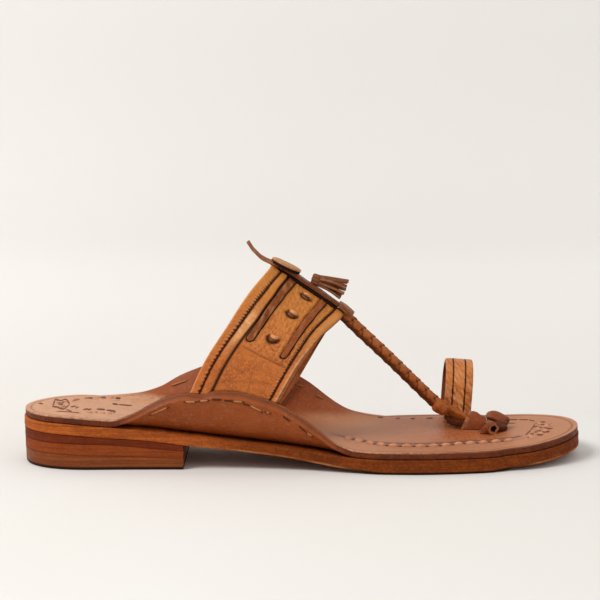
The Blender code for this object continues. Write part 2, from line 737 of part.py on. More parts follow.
def build_tassel():
    """Short wrapped head with flat strips fused on, fanned toward the toe."""
    head = TASSEL_HEAD
    tilt = math.radians(head["tilt"])
    axis = np.array([math.sin(tilt), 0.0, math.cos(tilt)])
    ahead = np.array([math.cos(tilt), 0.0, -math.sin(tilt)])
    turn = np.arange(12) / 12 * 2 * math.pi
    circle = np.cos(turn)[:, None] * ahead + np.sin(turn)[:, None] * np.array([0.0, 1.0, 0.0])
    centre = np.array([head["x"], head["y"], head["z"]])
    rings = [centre + axis * rise * head["height"] / 2 + circle * wide * head["radius"]
             for wide, rise in ((0.85, -1), (1.1, -0.8), (1, -0.3), (1.12, 0.1), (1.12, 0.7),
                                (0.8, 1))]
    tassel = swept_solid("tassel", rings, "trim_leather")
    strips = []
    for number, (rise, down, out, length) in enumerate(zip(*TASSEL_STRIPS.values()), 1):
        part = np.linspace(0, 1, 5)
        down_angle = np.radians(down * (0.6 + 0.6 * part))
        out_angle = math.radians(out)
        heading = np.column_stack([np.cos(down_angle) * math.cos(out_angle),
                                   np.cos(down_angle) * math.sin(out_angle),
                                   -np.sin(down_angle)])
        step = length / (len(part) - 1)
        run = np.vstack([np.zeros(3), np.cumsum(heading[1:] * step, axis=0)])
        path = centre + axis * rise + run
        side_way = np.broadcast_to(np.array([-math.sin(out_angle), math.cos(out_angle), 0.0]),
                                   path.shape)
        width = np.full(len(part), TASSEL_STRIP_WIDE)
        thick = np.full(len(part), TASSEL_STRIP_THICK)
        strips.append(swept_solid("tassel_strip_" + str(number),
                                  strip_rings(path, side_way, width, thick),
                                  "trim_leather", "sandal_cutters"))
    join(tassel, strips)


def build_keeper():
    """Folded leather tunnel over the plain end, its rear edge cut on a slant."""
    turn = np.radians(np.linspace(-90, 90, 9))
    rings = []
    for x, y, half, height, lean in zip(*KEEPER.values()):
        foot = float(insole_top(x)) + GAP + 0.05
        arcs = []
        for cut in (0.0, KEEPER_WALL):
            rise = (height - cut) * np.cos(turn) ** 0.7
            arcs.append(np.column_stack([x + lean * (rise / height - 0.4),
                                         y + (half - cut) * np.sin(turn), foot + rise]))
        rings.append(np.vstack([arcs[0], arcs[1][::-1]]))
    swept_solid("toe_keeper", rings, "keeper_leather")


def round_lobe(name, rows, collection):
    """A rolled lobe: oval sections along a table's route."""
    path = np.column_stack([rows["x"], rows["y"], rows["z"]])
    ahead = unit(np.gradient(path, axis=0))
    aside = unit(np.cross(ahead, np.array([0.0, 0.0, 1.0])))
    up = np.cross(aside, ahead)
    turn = np.arange(12) / 12 * 2 * math.pi
    rings = (path[:, None]
             + np.cos(turn)[None, :, None] * aside[:, None] * rows["wide"][:, None, None]
             + np.sin(turn)[None, :, None] * up[:, None] * rows["tall"][:, None, None])
    return swept_solid(name, rings, "keeper_leather", collection)


def build_knot():
    """Knotted end in front of the keeper: two rolled lobes joined where they cross."""
    knot = round_lobe("toe_knot", KNOT_UPPER, "kolhapuri_sandal")
    join(knot, [round_lobe("knot_lower", KNOT_LOWER, "sandal_cutters")])


def make_finish(name, colour, roughness, metallic):
    """A plain material with the part's colour, roughness and metallic value."""
    material = bpy.data.materials.new(name)
    material.use_nodes = True
    shader = material.node_tree.nodes["Principled BSDF"]
    shader.inputs["Base Color"].default_value = (*colour, 1.0)
    shader.inputs["Roughness"].default_value = roughness
    shader.inputs["Metallic"].default_value = metallic


def main():
    """Clear the scene and build every piece."""
    for item in list(bpy.data.objects):
        bpy.data.objects.remove(item, do_unlink=True)
    for name in ("kolhapuri_sandal", "sandal_cutters"):
        collection = bpy.data.collections.new(name)
        bpy.context.scene.collection.children.link(collection)
    for name, (colour, roughness, metallic) in FINISHES.items():
        make_finish(name, colour, roughness, metallic)
    build_outsole()
    build_heel()
    build_insole()
    upper = build_band()
    join(upper, [strap_strip("crown_strap", STRAP, 17), build_braid(),
                 strap_strip("plain_end", PLAIN_END, 9),
                 strap_strip("under_strand", UNDER_STRAND, 7), build_toe_loop()])
    build_inlays()
    build_nubs()
    build_disc()
    build_collar()
    build_tassel()
    build_keeper()
    build_knot()


main()
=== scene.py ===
import functools
import math

import bmesh
import bpy
import numpy as np
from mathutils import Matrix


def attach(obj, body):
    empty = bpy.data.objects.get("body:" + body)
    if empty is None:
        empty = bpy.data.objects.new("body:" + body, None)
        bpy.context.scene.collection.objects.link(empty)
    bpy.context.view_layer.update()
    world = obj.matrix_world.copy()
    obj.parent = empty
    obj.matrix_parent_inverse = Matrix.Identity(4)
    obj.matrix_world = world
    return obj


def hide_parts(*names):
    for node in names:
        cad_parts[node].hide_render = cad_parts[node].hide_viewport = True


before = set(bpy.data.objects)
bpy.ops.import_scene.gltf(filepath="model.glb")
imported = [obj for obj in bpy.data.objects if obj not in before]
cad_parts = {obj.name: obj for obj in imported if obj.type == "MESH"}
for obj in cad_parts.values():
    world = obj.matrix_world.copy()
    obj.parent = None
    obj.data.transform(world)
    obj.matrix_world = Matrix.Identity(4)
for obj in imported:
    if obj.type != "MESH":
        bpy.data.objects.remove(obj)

bl_info = {
    "name": "Kolhapuri sandal, right shoe",
    "version": (1, 0, 0),
    "blender": (4, 5, 0),
    "location": "3D View > Sidebar > Sandal",
    "description": "Builds the leather pieces of a right kolhapuri sandal and a plain stage",
    "category": "Add Mesh",
}

# Tables and sizes below are in millimetres, x measured from the waist line
MM = 0.001
MIDDLE_X = 1.0
GAP = 0.3
HEEL_TIP = -137.8
TOE_TIP = 139.8
HEEL_END = -104.0
TOE_START = 104.0
BREAST = -57.5
INSOLE_THICK = 3.4
INSOLE_INSET = 0.6
SIDES = {"lateral": -1.0, "medial": 1.0}


def table(columns, rows):
    """Rows of numbers as a dictionary of named columns."""
    return dict(zip(columns.split(), np.array(rows, float).T))


# Edge of the sole in plan before its ends are rounded: distance from the X axis
PLAN = table("x lateral medial", [
    (-104, 39.8, 25.6), (-80, 39, 26), (-58, 38.8, 25.6), (-40, 38.6, 24.6),
    (-20, 39.5, 24.8), (0, 41.7, 29), (20, 46, 38), (40, 49.8, 45.5), (56, 50.4, 49),
    (75, 48.6, 50.4), (90, 45.6, 49), (104, 40.2, 45.9), (139.8, 35.2, 41.8),
])
HEEL_CURVE = {"centre": -8.5, "lateral": 2.25, "medial": 1.85}
TOE_CURVE = {"centre": 3.0, "lateral": 1.94, "medial": 2.08}
# Outsole from the side
SOLE = table("x top bottom", [
    (-137.7, 22.9, 17.6), (-117, 22.6, 17.2), (-97.5, 21.2, 15.8), (-85, 20.1, 15),
    (-73, 18.9, 13.9), (-58, 16.9, 12), (-49, 15.8, 11), (-39.5, 14.5, 10),
    (-25, 12.9, 8.4), (-5.6, 11, 6), (9, 9.4, 3.6), (23, 7.7, 1.6), (40, 7.1, 0),
    (90, 7.1, 0), (106, 7.9, 1.5), (116, 8.8, 2.3), (126, 9.9, 3.4), (139.7, 11.8, 4.9),
])
HEEL = table("x dark_bottom middle_bottom", [
    (-137.7, 12.9, 7.3), (-117, 12.7, 7.1), (-97, 12.2, 6.7), (-59, 9.1, 5.2), (-57, 9, 5.1),
])
# How far the ears' rims stand above the insole's top
EARS = table("x lateral medial", [
    (-104, 0, 0), (-94, 0, 1.4), (-83, 3.8, 3.4), (-73, 10, 7.2), (-63, 15.9, 14),
    (-55, 17.9, 18.6), (-49, 18.1, 21.5), (-42, 20.5, 23.4), (-31, 21.5, 24.6),
    (-20, 20, 24.8), (-10, 17.3, 23.4), (-1, 12.9, 20.6), (5, 9.4, 17.6), (10, 6.2, 14.1),
    (15, 3.2, 10.2), (20, 1.4, 6.8), (26, 0, 3.8), (34, 0, 1.8), (44, 0, 0),
])
EAR_SHAPE = {
    "lateral": {"fold": 5.6, "rim": 0.8},
    "medial": {"fold": 6.0, "rim": -3.6},
}
EAR_FULL = 14.0
EAR_FLAT = 17.0
EAR_TIGHT = 0.92
EAR_SKIVE = 2.8
EAR_RIM = 0.93
EAR_STEPS = np.linspace(0, 1, 60)
UP = np.array([0.0, 0.0, 1.0])
ACROSS = np.array([0.0, 1.0, 0.0])

# Instep band from the side, by level: 0 where it leaves the ears and 1 at the crown
BAND = table("level x_rear z_rear x_front z_front", [
    (0, -53.9, 38, -10.4, 33), (0.25, -47.1, 52.6, -4.5, 43.1),
    (0.55, -35.8, 70.1, 3.2, 55.3), (0.8, -25.9, 84.6, 10.6, 64.6),
    (0.93, -18.9, 92.4, 16.4, 68.6), (1, -15.1, 96, 21, 71.6),
])
BAND_CENTRE = -3.5
FOOT_MIDDLE = np.array([0.0, BAND_CENTRE, 40.0])
BAND_HALF = {"rear": 33.2, "front": 34.4}
BAND_ROUND = 2.1
BAND_MEDIAL_SHIFT = {"rear": 6.5, "front": 8.5}
BAND_TAIL = {"x_rear": -57.5, "z_rear": 25.5, "x_front": -13.5, "z_front": 20.5}
BAND_WALL = 2.0
BAND_STEP = 0.4
BAND_WIDTH = 42.5
DEGREE = 0.9
# Lines across the band by arch angle: rear stitch, groove, edges of both inlays, front stitch
LINES = table("angle thread groove rear0 rear1 front0 front1 seam", [
    (0, 0.136, 0.224, 0.246, 0.335, 0.68, 0.757, 0.884),
    (22, 0.134, 0.232, 0.252, 0.34, 0.692, 0.764, 0.878),
    (34, 0.143, 0.256, 0.272, 0.358, 0.708, 0.787, 0.884),
    (48, 0.132, 0.26, 0.278, 0.36, 0.722, 0.792, 0.882),
    (57, 0.122, 0.238, 0.27, 0.352, 0.724, 0.792, 0.882),
    (66, 0.111, 0.226, 0.268, 0.35, 0.724, 0.792, 0.88),
    (90, 0.104, 0.219, 0.268, 0.35, 0.724, 0.792, 0.883),
])
# Where the band's columns stand on the even scale that warp() stretches to its lines
COLUMNS = {"rear": 0.0, "thread": 0.12, "groove": 0.235, "seam": 0.88, "front": 1.0}
INLAYS = {"rear": 61.5, "front": 64.5}
INLAY_HIGH = 5.5
NUBS = table("across angle", [(0.535, 14.5), (0.56, 35), (0.54, 55)])
# Soft creases of the lower band: both ends by angle and across, depth and half width
CREASES = table("angle0 across0 angle1 across1 depth half", [
    (65, 0.3, 69.5, 0.86, 0.22, 0.55), (63.5, 0.5, 76.5, 0.49, 0.12, 0.6),
    (76, 0.54, 89.5, 0.62, 0.14, 0.6), (75.5, 0.3, 78, 0.48, 0.12, 0.6),
    (83, 0.28, 80, 0.8, 0.08, 1.2),
])

# Crown strap from its curled tail to the braid, at its middle height
STRAP = table("x z width thick", [
    (-27, 107.4, 2.8, 1), (-23.6, 102.4, 3.8, 1.1), (-18.6, 98.4, 5, 1.3),
    (-12.5, 95.6, 7.4, 2.2), (-5, 91.4, 9.2, 2.6), (5, 84.9, 9.4, 2.6),
    (15, 77.9, 9, 2.6), (22, 72.6, 7.6, 2.8), (26.5, 68.4, 4.8, 3.6),
])
CROWN_Y = BAND_CENTRE + 1.5
DISC = {"x": -7.6, "z": 95.9, "tilt": 25.5, "radius": 7.9, "thick": 2.4}
COLLAR = {"x0": 18.3, "x1": 24.7, "wall": 1.1, "half": 5.0}
BRAID = table("x y z", [
    (20.6, -2, 71.4), (23.6, -1.6, 68.6), (29, -0.6, 63.2), (36, 1.2, 56.4), (44, 3.4, 48.6),
    (52, 5.8, 40.5), (60, 8.2, 32.4), (66, 10, 26.4), (71.5, 11.4, 21.8),
])
PLAIN_END = table("x y z width thick", [
    (69.4, 10.9, 23.8, 4.2, 4.2), (74, 12, 20.9, 4.6, 4.5), (79, 12.8, 18, 4.6, 4.4),
    (84, 12.9, 15.8, 4.6, 3.6), (88.5, 12.2, 14.2, 4.2, 2),
])
UNDER_STRAND = table("x y z width thick", [
    (73, 10.2, 17.4, 2.6, 1.8), (75.2, 9.8, 15.5, 3.4, 2.6), (78, 9.8, 14.1, 4, 3.2),
    (81.5, 10.4, 13.4, 4.2, 3.4),
])
LOOP = {"near": 18.4, "far": 44.4, "top": 43.4, "x_top": 81.6, "x_foot": 79.6, "width": 14.0}
LOOP_WALL = 2.2
LOOP_BULGE = 0.8
LOOP_LEAN = 3.8
RING_GROOVES = (-0.46, 0.43)
KEEPER = table("x y half height lean", [
    (82.7, 13, 5.1, 8.9, 4.7), (87, 12.5, 5.1, 8.2, 1.9), (91, 11.4, 4.9, 7, 0.3),
    (93.6, 10.6, 4.2, 5.8, 0),
])
KEEPER_WALL = 1.5
KNOT_UPPER = table("x y z wide tall", [
    (94.4, 11, 16.6, 1.5, 1.3), (95.8, 10.6, 17.1, 2.3, 2), (98.2, 9.4, 17.2, 2.9, 2.4),
    (100.8, 8.4, 16.5, 3.1, 2.6), (103.2, 7.6, 15.2, 2.9, 2.7), (105, 7.2, 14.3, 2, 2),
])
KNOT_LOWER = table("x y z wide tall", [
    (89.8, -2, 11.2, 0.5, 0.5), (91.2, -2.1, 12, 1.6, 1.5), (93.2, -2.4, 13.2, 2.7, 2.6),
    (95.3, -3.1, 13.9, 3.2, 3.2), (96.4, -5, 13.8, 2.9, 3.1),
])
KNOT_UNDER = table("x y z wide tall", [
    (95.2, 2.6, 13, 1.8, 1.9), (98, 2, 13.6, 2.7, 2.8), (100.8, 2.8, 13.5, 2.8, 2.8),
    (103, 4.8, 13.2, 1.8, 2),
])
# Rings of the knot's hollow end: shares of its size and depth, dark as painted shade in the hollow,
# and pale
KNOT_CUP = ((0.86, 0, 0, 1), (0.6, 0.02, 0.1, 1), (0.5, 0.3, 0.8, 0), (0.45, 1, 1, 0))
BRAID_KNOT = table("x y z wide tall", [
    (67.6, 9.4, 25.4, 1.8, 1.8), (69.8, 9.6, 23.2, 3.2, 3.2), (72, 10, 21.2, 3.1, 3.1),
    (74, 10.6, 19.6, 1.6, 1.6),
])
TASSEL_HEAD = {"x": 7.4, "y": -0.8, "z": 88.6, "radius": 2.2, "height": 5.2, "tilt": 18.0}
TASSEL_STRIPS = table("rise down out length", [
    (1.6, 8.5, -5, 15.8), (1, 12, 12, 15.6), (0.5, 15.5, -14, 15.6),
    (-0.1, 20, 5, 15.6), (-0.8, 25, -9, 15.4), (-1.5, 29.5, 14, 15),
    (-2.1, 32.5, 0, 14.6),
])

# Thong stitches of the ears: both ends by x and share of the ear's height from fold to rim,
# and 1 where the thong is pale or 0 where only its dark slit shows
EAR_THONGS = {
    "lateral": table("x0 rise0 x1 rise1 pale", [
        (-73.4, 0.86, -64.4, 0.885, 1), (-56.4, 0.93, -51, 0.938, 1),
        (-49.4, 0.95, -45.1, 0.945, 1), (-42.6, 0.943, -39.2, 0.943, 0),
        (-36.6, 0.935, -34, 0.935, 0), (-33.2, 0.93, -28.4, 0.936, 1),
        (-27.4, 0.92, -25.8, 0.918, 0), (-25, 0.918, -19.2, 0.882, 1),
        (-17.2, 0.89, -15.3, 0.893, 1), (-8.4, 0.915, -6.1, 0.9, 0),
        (-0.6, 0.895, 1.7, 0.868, 0), (2.6, 0.85, 5.1, 0.85, 1),
    ]),
    "medial": table("x0 rise0 x1 rise1 pale", [
        (-76, 0.86, -68, 0.88, 1), (-58, 0.92, -52, 0.93, 1),
        (-46, 0.94, -40, 0.94, 1), (-34, 0.94, -28, 0.94, 1),
        (-22, 0.93, -16, 0.92, 1), (-10, 0.92, -4, 0.91, 1),
        (2, 0.9, 7, 0.88, 1), (12, 0.87, 15, 0.86, 1),
    ]),
}
# Tooled seam inside the insole's edge: inset from the sole's edge at each x
SEAM = table("x lateral medial", [
    (8, 34, 18.5), (12, 32, 18.5), (24, 26, 18.5), (36, 20.8, 18.5), (48, 18.4, 18.5),
    (60, 17.9, 18.2), (73, 19.4, 18), (85, 22, 18), (98, 21, 18), (108, 18.6, 18.4),
    (116, 18.2, 18.4), (130, 18.2, 18.4),
])
SEAM_STITCHES = {"lateral": (14.0, 112.0), "medial": (99.0, 116.0)}
# Tooled strokes of the insole, both ends in plan and breadth: dark cuts and pale lips
DARK_STROKES = table("x0 y0 x1 y1 wide", [
    (-123.7, -11.4, -125, 8.7, 0.6), (-125, 8.7, -121.6, 3.5, 1.6), (-121.6, 3.5, -119.4, 9.8, 1.1),
    (-119.4, 9.8, -116.1, -4.6, 0.8), (-116.1, -4.6, -117.3, -19.6, 0.6),
    (-117.3, -19.6, -120.8, -14, 1.6), (-120.8, -14, -123.7, -11.4, 2.1),
    (-123.8, 3.4, -118.4, -10.3, 1.2), (-119.2, 5.5, -121.1, -8.8, 0.7),
    (-114.5, -12.7, -112.8, -8.6, 1.2), (-112, -15.2, -111.1, -10.3, 0.7),
    (-107.8, -17.4, -106, -13.2, 1.4), (-105.5, -17.9, -104.5, -12.7, 0.9),
    (-101.9, -12.7, -97.4, -12, 3), (-96.9, -12.8, -92.5, -15.2, 2.7),
    (-92.4, -13.1, -92.6, -20, 0.5), (-114.8, 6.6, -113.9, 9.8, 0.9),
    (-109, 14.3, -107.1, 16.9, 2.2), (-102.8, 18.2, -100.2, 19.6, 2.6),
    (-95.4, 19.4, -92.6, 19.3, 3), (-95.6, 4.3, -92.7, 4.9, 3.4),
    (-92.6, 4.2, -85.3, 3.9, 1.9), (-131.4, -2.9, -129.6, -6, 1.5),
    (-121.1, -24.3, -107.8, -26.2, 1.5), (-116.1, -19.2, -113, -24.1, 1),
    (119.7, 14.8, 120.8, 10.8, 0.9), (122.9, 14.7, 124.5, 15.8, 2.3), (117.8, 7.3, 119.1, 4.7, 1.4),
    (119.3, 4.2, 121.2, 1.6, 1.7), (119, -4.6, 119.8, -6.8, 1.1), (121.6, 8.7, 123.6, 8.4, 2.3),
    (122.7, 0.6, 124.1, -1.8, 1.2), (124.2, -4.2, 125.8, -2.2, 1.8), (126.1, 6.4, 127, 7.7, 1.4),
    (117.2, -13.9, 119.6, -16.5, 2), (120.5, -8.3, 121.8, -11.1, 1.1),
    (121.8, -11.1, 123.7, -8.9, 1.5), (114.3, -9.9, 115.4, -12.2, 1.1),
    (112, -17.8, 113.7, -20.4, 1.3), (111.5, -12.3, 115.2, -2.2, 0.7),
    (115.2, -2.2, 119.2, 12.8, 0.6), (117, -9, 118.3, -3.8, 0.6), (107.7, 29.5, 112.3, 28.1, 1.5),
    (112.3, 28.1, 117.2, 24.9, 1.3), (117.2, 24.9, 120, 19.2, 0.7), (39.8, 40.4, 43, 39.5, 2.2),
    (49.3, 39.1, 51.5, 38.3, 2), (57, 37.8, 59.4, 38.2, 2.4), (65.3, 38.6, 69, 39.4, 2.2),
])
PALE_STROKES = table("x0 y0 x1 y1 wide", [
    (120, 9.6, 122.1, 11.4, 3.2), (121.6, 5, 122.8, 1.4, 2.2), (118.2, 1.3, 120.1, -1.7, 2.4),
    (122.8, 5.4, 124.7, 1.9, 2.3), (121, -5.1, 123.6, -7, 3.2), (118.3, -10.6, 120.2, -13.4, 2.5),
    (115.2, -6.4, 116.8, -8.3, 2.9), (112.2, -15.4, 114.5, -17, 3.2), (125.7, 2.9, 127, 4.2, 2.4),
    (112, -21.5, 115.7, -19.9, 2.4), (-104.9, -24.1, -103.6, -21.6, 2.7),
    (-102.6, -21.4, -100.6, -20, 3), (-99, -22, -97, -21, 3), (-95.4, -21.7, -93.4, -20.6, 3),
    (-116, 2.5, -112.7, 10.3, 1.4), (-111, 12.4, -109, 15, 2.1), (-105.8, 16.3, -103.1, 18.1, 2.4),
    (-99, 18.7, -95.9, 19.8, 2.4), (-123.2, -1.6, -121.2, 0, 3.2), (-120, 0.6, -118.4, 3.1, 2.5),
    (-119.4, -14.4, -117.8, -9.8, 2),
])

# Camera, level across and pitched down onto the shoe
CAMERA = {"x": -1.75, "y": -990.75, "z": 207.9, "pitch": 7.4545, "lens": 120.0, "sensor": 36.0}
WALL = {"distance": 200, "curve": 90, "height": 1500, "half": 2600, "front": -2600}

# Leathers: roughness, gloss, coat, grain cells a metre and how far each effect goes
FINISHES = "slot rough gloss coat grain depth mottle streak fibre".split()
LEATHERS = {name: dict(zip(FINISHES, (slot + "_leather", *row))) for name, slot, *row in (
    ("band", "band", 0.38, 0.22, 0.08, 1100, 0.16, 0.85, 0.22, 0),
    ("insole", "insole", 0.42, 0.16, 0.06, 1300, 0.09, 0.65, 0.25, 0),
    ("outsole", "outsole", 0.55, 0.06, 0, 1400, 0.08, 0.7, 0.1, 0.8),
    ("dark_lift", "dark_lift", 0.55, 0.06, 0, 1400, 0.08, 0.6, 0, 0.6),
    ("middle_lift", "middle_lift", 0.55, 0.06, 0, 1400, 0.08, 0.6, 0, 0.7),
    ("top_piece", "top_piece", 0.42, 0.1, 0.03, 1600, 0.04, 0.5, 0, 1),
    ("inlay", "inlay", 0.4, 0.1, 0.05, 900, 0.18, 1, 0.3, 0),
    ("fold", "inlay", 0.4, 0.1, 0.05, 1000, 0.12, 0.8, 0.4, 0),
    ("trim", "trim", 0.42, 0.1, 0.05, 1200, 0.16, 0.9, 0.3, 0),
    ("disc", "disc", 0.5, 0.1, 0.03, 1000, 0.18, 1, 0, 0),
    ("braid", "band", 0.38, 0.14, 0.05, 1200, 0.12, 0.7, 0.3, 0),
    ("keeper", "keeper", 0.38, 0.12, 0.06, 1100, 0.2, 0.9, 0.2, 0),
    ("thong", "disc", 0.6, 0.05, 0, 1500, 0.1, 0.8, 0, 0),
    ("thread", "inlay", 0.6, 0.05, 0, 2000, 0.05, 0.6, 0, 0),
)}


def colour(name, description, default):
    """A colour setting of the panel."""
    return bpy.props.FloatVectorProperty(name=name, description=description, subtype="COLOR",
                                         size=3, min=0.0, max=1.0, default=default)


def length(name, description, default):
    """A size setting of the panel, given in millimetres and kept in metres."""
    return bpy.props.FloatProperty(name=name, description=description, unit="LENGTH",
                                   min=0.0, soft_max=0.05, precision=4, default=default * MM)


class SandalColours(bpy.types.PropertyGroup):
    """Each leather's own colour, its dark and pale mottling and its dust."""

    band: colour("Band", "Golden tan of band and toe ring", (0.56, 0.152, 0.021))
    band_deep: colour("Band, deep", "Redder tan of its dark places", (0.28, 0.058, 0.009))
    # Band, pale: wear, and painted highlights on the band, its nubs and the toe ring
    band_pale: colour("Band, pale", "Its rubbed high places", (0.8, 0.4, 0.16))
    band_dust: colour("Band, golden", "Golden tan of its upper part", (0.62, 0.235, 0.038))
    insole: colour("Insole", "Tan of insole and ears", (0.33, 0.072, 0.012))
    insole_deep: colour("Insole, deep", "Reddish brown of the ears", (0.2, 0.036, 0.006))
    # Insole, pale: wear, and painted highlights along the rim and on the seam's scallops
    insole_pale: colour("Insole, pale", "Rubbed rim of the insole", (0.74, 0.42, 0.26))
    # Insole, gloss: a painted reflection over the polished place under the toes
    insole_gloss: colour("Insole, gloss", "Polished place under the toes", (0.44, 0.115, 0.028))
    insole_dust: colour("Insole, dust", "Pinkish dust of the foot bed", (0.5, 0.22, 0.105))
    outsole: colour("Outsole", "Orange tan of its edge", (0.5, 0.12, 0.021))
    outsole_deep: colour("Outsole, deep", "Reddish brown of its fore part", (0.2, 0.038, 0.007))
    outsole_pale: colour("Outsole, pale", "Fibrous lower edge", (0.5, 0.22, 0.09))
    dark_lift: colour("Dark lift", "Dark brown first lift", (0.165, 0.027, 0.006))
    middle_lift: colour("Middle lift", "Reddish brown second lift", (0.29, 0.06, 0.012))
    top_piece: colour("Top piece", "Smooth brown top piece", (0.27, 0.07, 0.016))
    inlay: colour("Inlays", "Reddish brown inlay strips", (0.24, 0.062, 0.013))
    inlay_pale: colour("Inlays, pale", "Worn patches of the inlays", (0.58, 0.26, 0.1))
    fold: colour("Front inlay", "Brown of the folded front strip", (0.32, 0.082, 0.016))
    trim: colour("Trim", "Brown of tassel, collar and tail", (0.18, 0.042, 0.011))
    trim_pale: colour("Trim, pale", "Light edges of the trim", (0.46, 0.21, 0.1))
    disc: colour("Disc", "Pale golden tan disc", (0.58, 0.29, 0.12))
    braid: colour("Braid", "Orange brown of the plait", (0.43, 0.112, 0.016))
    keeper: colour("Keeper", "Reddish brown of keeper and knot", (0.255, 0.055, 0.012))
    keeper_pale: colour("Keeper, pale", "Its dusty cut edges", (0.48, 0.21, 0.105))
    thong: colour("Thong", "Pale orange tan of the thongs", (0.5, 0.22, 0.085))
    thread: colour("Thread", "Dark waxed thread", (0.06, 0.014, 0.006))
    # Grooves: colour of painted shade in grooves, slits, creases, hollows and under parts; also
    # mottles cut edges
    dark: colour("Grooves", "Burnt brown inside grooves and slits", (0.016, 0.005, 0.002))
    cut: colour("Cut edges", "Dark red brown of cut edges", (0.14, 0.026, 0.004))
    backdrop: colour("Backdrop", "Warm off-white of floor and wall", (0.778, 0.766, 0.748))


class SandalSizes(bpy.types.PropertyGroup):
    """Sizes of the fine work that the solids leave out."""

    groove: length("Groove depth", "Depth of the cut grooves beside the band's strips", 0.7)
    thread_pitch: length("Thread pitch", "Length of one turn of the twisted thread", 1.6)
    thread_width: length("Thread width", "Breadth of the twisted thread", 0.6)
    inlay_rise: length("Inlay rise", "How far the inlays stand above the band", 0.75)
    seam_pitch: length("Seam pitch", "Length of one scallop of the insole's seam", 6.4)
    scallop_width: length("Scallop width", "Breadth of one scallop of the seam", 3.0)
    thong_width: length("Thong width", "Breadth of the ears' thong", 1.3)
    strand_width: length("Strand width", "Breadth of one strand of the braid", 4.7)
    strand_thick: length("Strand thickness", "Thickness of one strand of the braid", 1.15)
    braid_turn: length("Braid turn", "Length in which a strand goes round once", 13.4)
    tooling: length("Tooling size", "Breadth of one hatch of the tooled panel", 1.5)


def colours():
    """The scene's colour settings."""
    return bpy.context.scene.sandal_colours


def size(name):
    """One of the scene's size settings in millimetres."""
    return getattr(bpy.context.scene.sandal_sizes, name) / MM


# Curves and outlines of the shoe


def smooth(rows, column, at, key="x"):
    """Cubic curve through a table's rows that never overshoots them."""
    x, y = rows[key], rows[column]
    at = np.clip(np.asarray(at, float), x[0], x[-1])
    step = np.diff(x)
    slope = np.diff(y) / step
    same = slope[:-1] * slope[1:] > 0
    safe = np.where(same, slope[:-1] + slope[1:], 1.0)
    inner = np.where(same, 2 * slope[:-1] * slope[1:] / safe, 0.0)
    tangent = np.concatenate([slope[:1], inner, slope[-1:]])
    i = np.clip(np.searchsorted(x, at, side="right") - 1, 0, len(step) - 1)
    t = (at - x[i]) / step[i]
    ease = t * t * (3 - 2 * t)
    return (y[i] * (1 - ease) + y[i + 1] * ease
            + step[i] * (t * (1 - t) ** 2 * tangent[i] - t * t * (1 - t) * tangent[i + 1]))


def unit(vectors):
    """Vectors made one long."""
    return vectors / np.maximum(1e-9, np.linalg.norm(vectors, axis=-1, keepdims=True))


def ramp(value, low, high):
    """Smooth step from 0 at low to 1 at high, 3t squared less 2t cubed."""
    t = np.clip((value - low) / (high - low), 0, 1)
    return t * t * (3 - 2 * t)


def bell(value, centre, half):
    """Bell curve of height 1 about a centre: e to the minus square of the distance in halves."""
    return np.exp(-((value - centre) / half) ** 2)


def ripple(seed, *axes):
    """Irregular smooth waves between about -1 and 1: seven sines whose pitch along each axis
    and phase come from a seeded draw."""
    draw = np.random.default_rng(seed)
    total = 0.0
    waves = 7
    for _ in range(waves):
        pitch = draw.normal(size=len(axes))
        total = total + np.sin(sum(p * a for p, a in zip(pitch, axes)) + draw.uniform(0, 6.283))
    return total / math.sqrt(waves)


def plan_edge(x, side):
    """Y of the sole's edge at each x on one side: the table, rounded at the heel and toe by
    quarter superellipses."""
    x = np.asarray(x, float)
    edge = smooth(PLAN, side, x) * SIDES[side]
    for curve, start, limit in ((HEEL_CURVE, HEEL_END, HEEL_TIP),
                                (TOE_CURVE, TOE_START, TOE_TIP)):
        part = np.clip((x - start) / (limit - start), 0, 1)
        centre, power = curve["centre"], curve[side]
        edge = centre + (edge - centre) * (1 - part ** power) ** (1 / power)
    return edge


def plan_loop(heel_steps, straight_steps, toe_steps, front=None):
    """Edge of the sole in plan as a loop of points, from the heel's tip by the lateral side.

    The ends take even angles of a quarter turn. With front, the loop is cut straight there.
    """
    heel_turn = np.arange(heel_steps) / heel_steps * math.pi / 2
    xs = [HEEL_END + (HEEL_TIP - HEEL_END) * np.cos(heel_turn),
          np.linspace(HEEL_END, front or TOE_START, straight_steps + 1)]
    if front is None:
        toe_turn = np.arange(1, toe_steps + 1) / toe_steps * math.pi / 2
        xs.append(TOE_START + (TOE_TIP - TOE_START) * np.sin(toe_turn))
    xs = np.concatenate(xs)
    back = xs[-2:0:-1] if front is None else xs[:0:-1]
    return np.vstack([np.column_stack([xs, plan_edge(xs, "lateral")]),
                      np.column_stack([back, plan_edge(back, "medial")])])


def inward(loop, breast=False):
    """Mitred inward directions at a loop's points, scaled to keep an even inset."""
    ahead = unit(np.roll(loop, -1, axis=0) - loop)
    left = np.column_stack([-ahead[:, 1], ahead[:, 0]])
    before = np.roll(left, 1, axis=0)
    total = left + before
    mitre = total / np.maximum(0.35, 1 + np.sum(left * before, axis=1, keepdims=True))
    if breast:
        corner = len(loop) // 2
        mitre[corner:corner + 2, 0] = 0.0
    return mitre


def loop_run(loop):
    """Length along a closed plan loop up to each of its points."""
    step = np.linalg.norm(np.diff(loop, axis=0), axis=1)
    return np.concatenate([[0.0], np.cumsum(step)])


def spine(loop, front=TOE_START):
    """Point of the sole's middle line that each loop point closes in to."""
    x = np.clip(loop[:, 0], HEEL_END, front)
    return np.column_stack([x, (plan_edge(x, "lateral") + plan_edge(x, "medial")) / 2])


def read_sides(loop, rows):
    """A table's lateral column on the lateral half of a plan loop, its medial on the other."""
    return side_blend(loop, *(smooth(rows, side, loop[:, 0]) for side in SIDES))


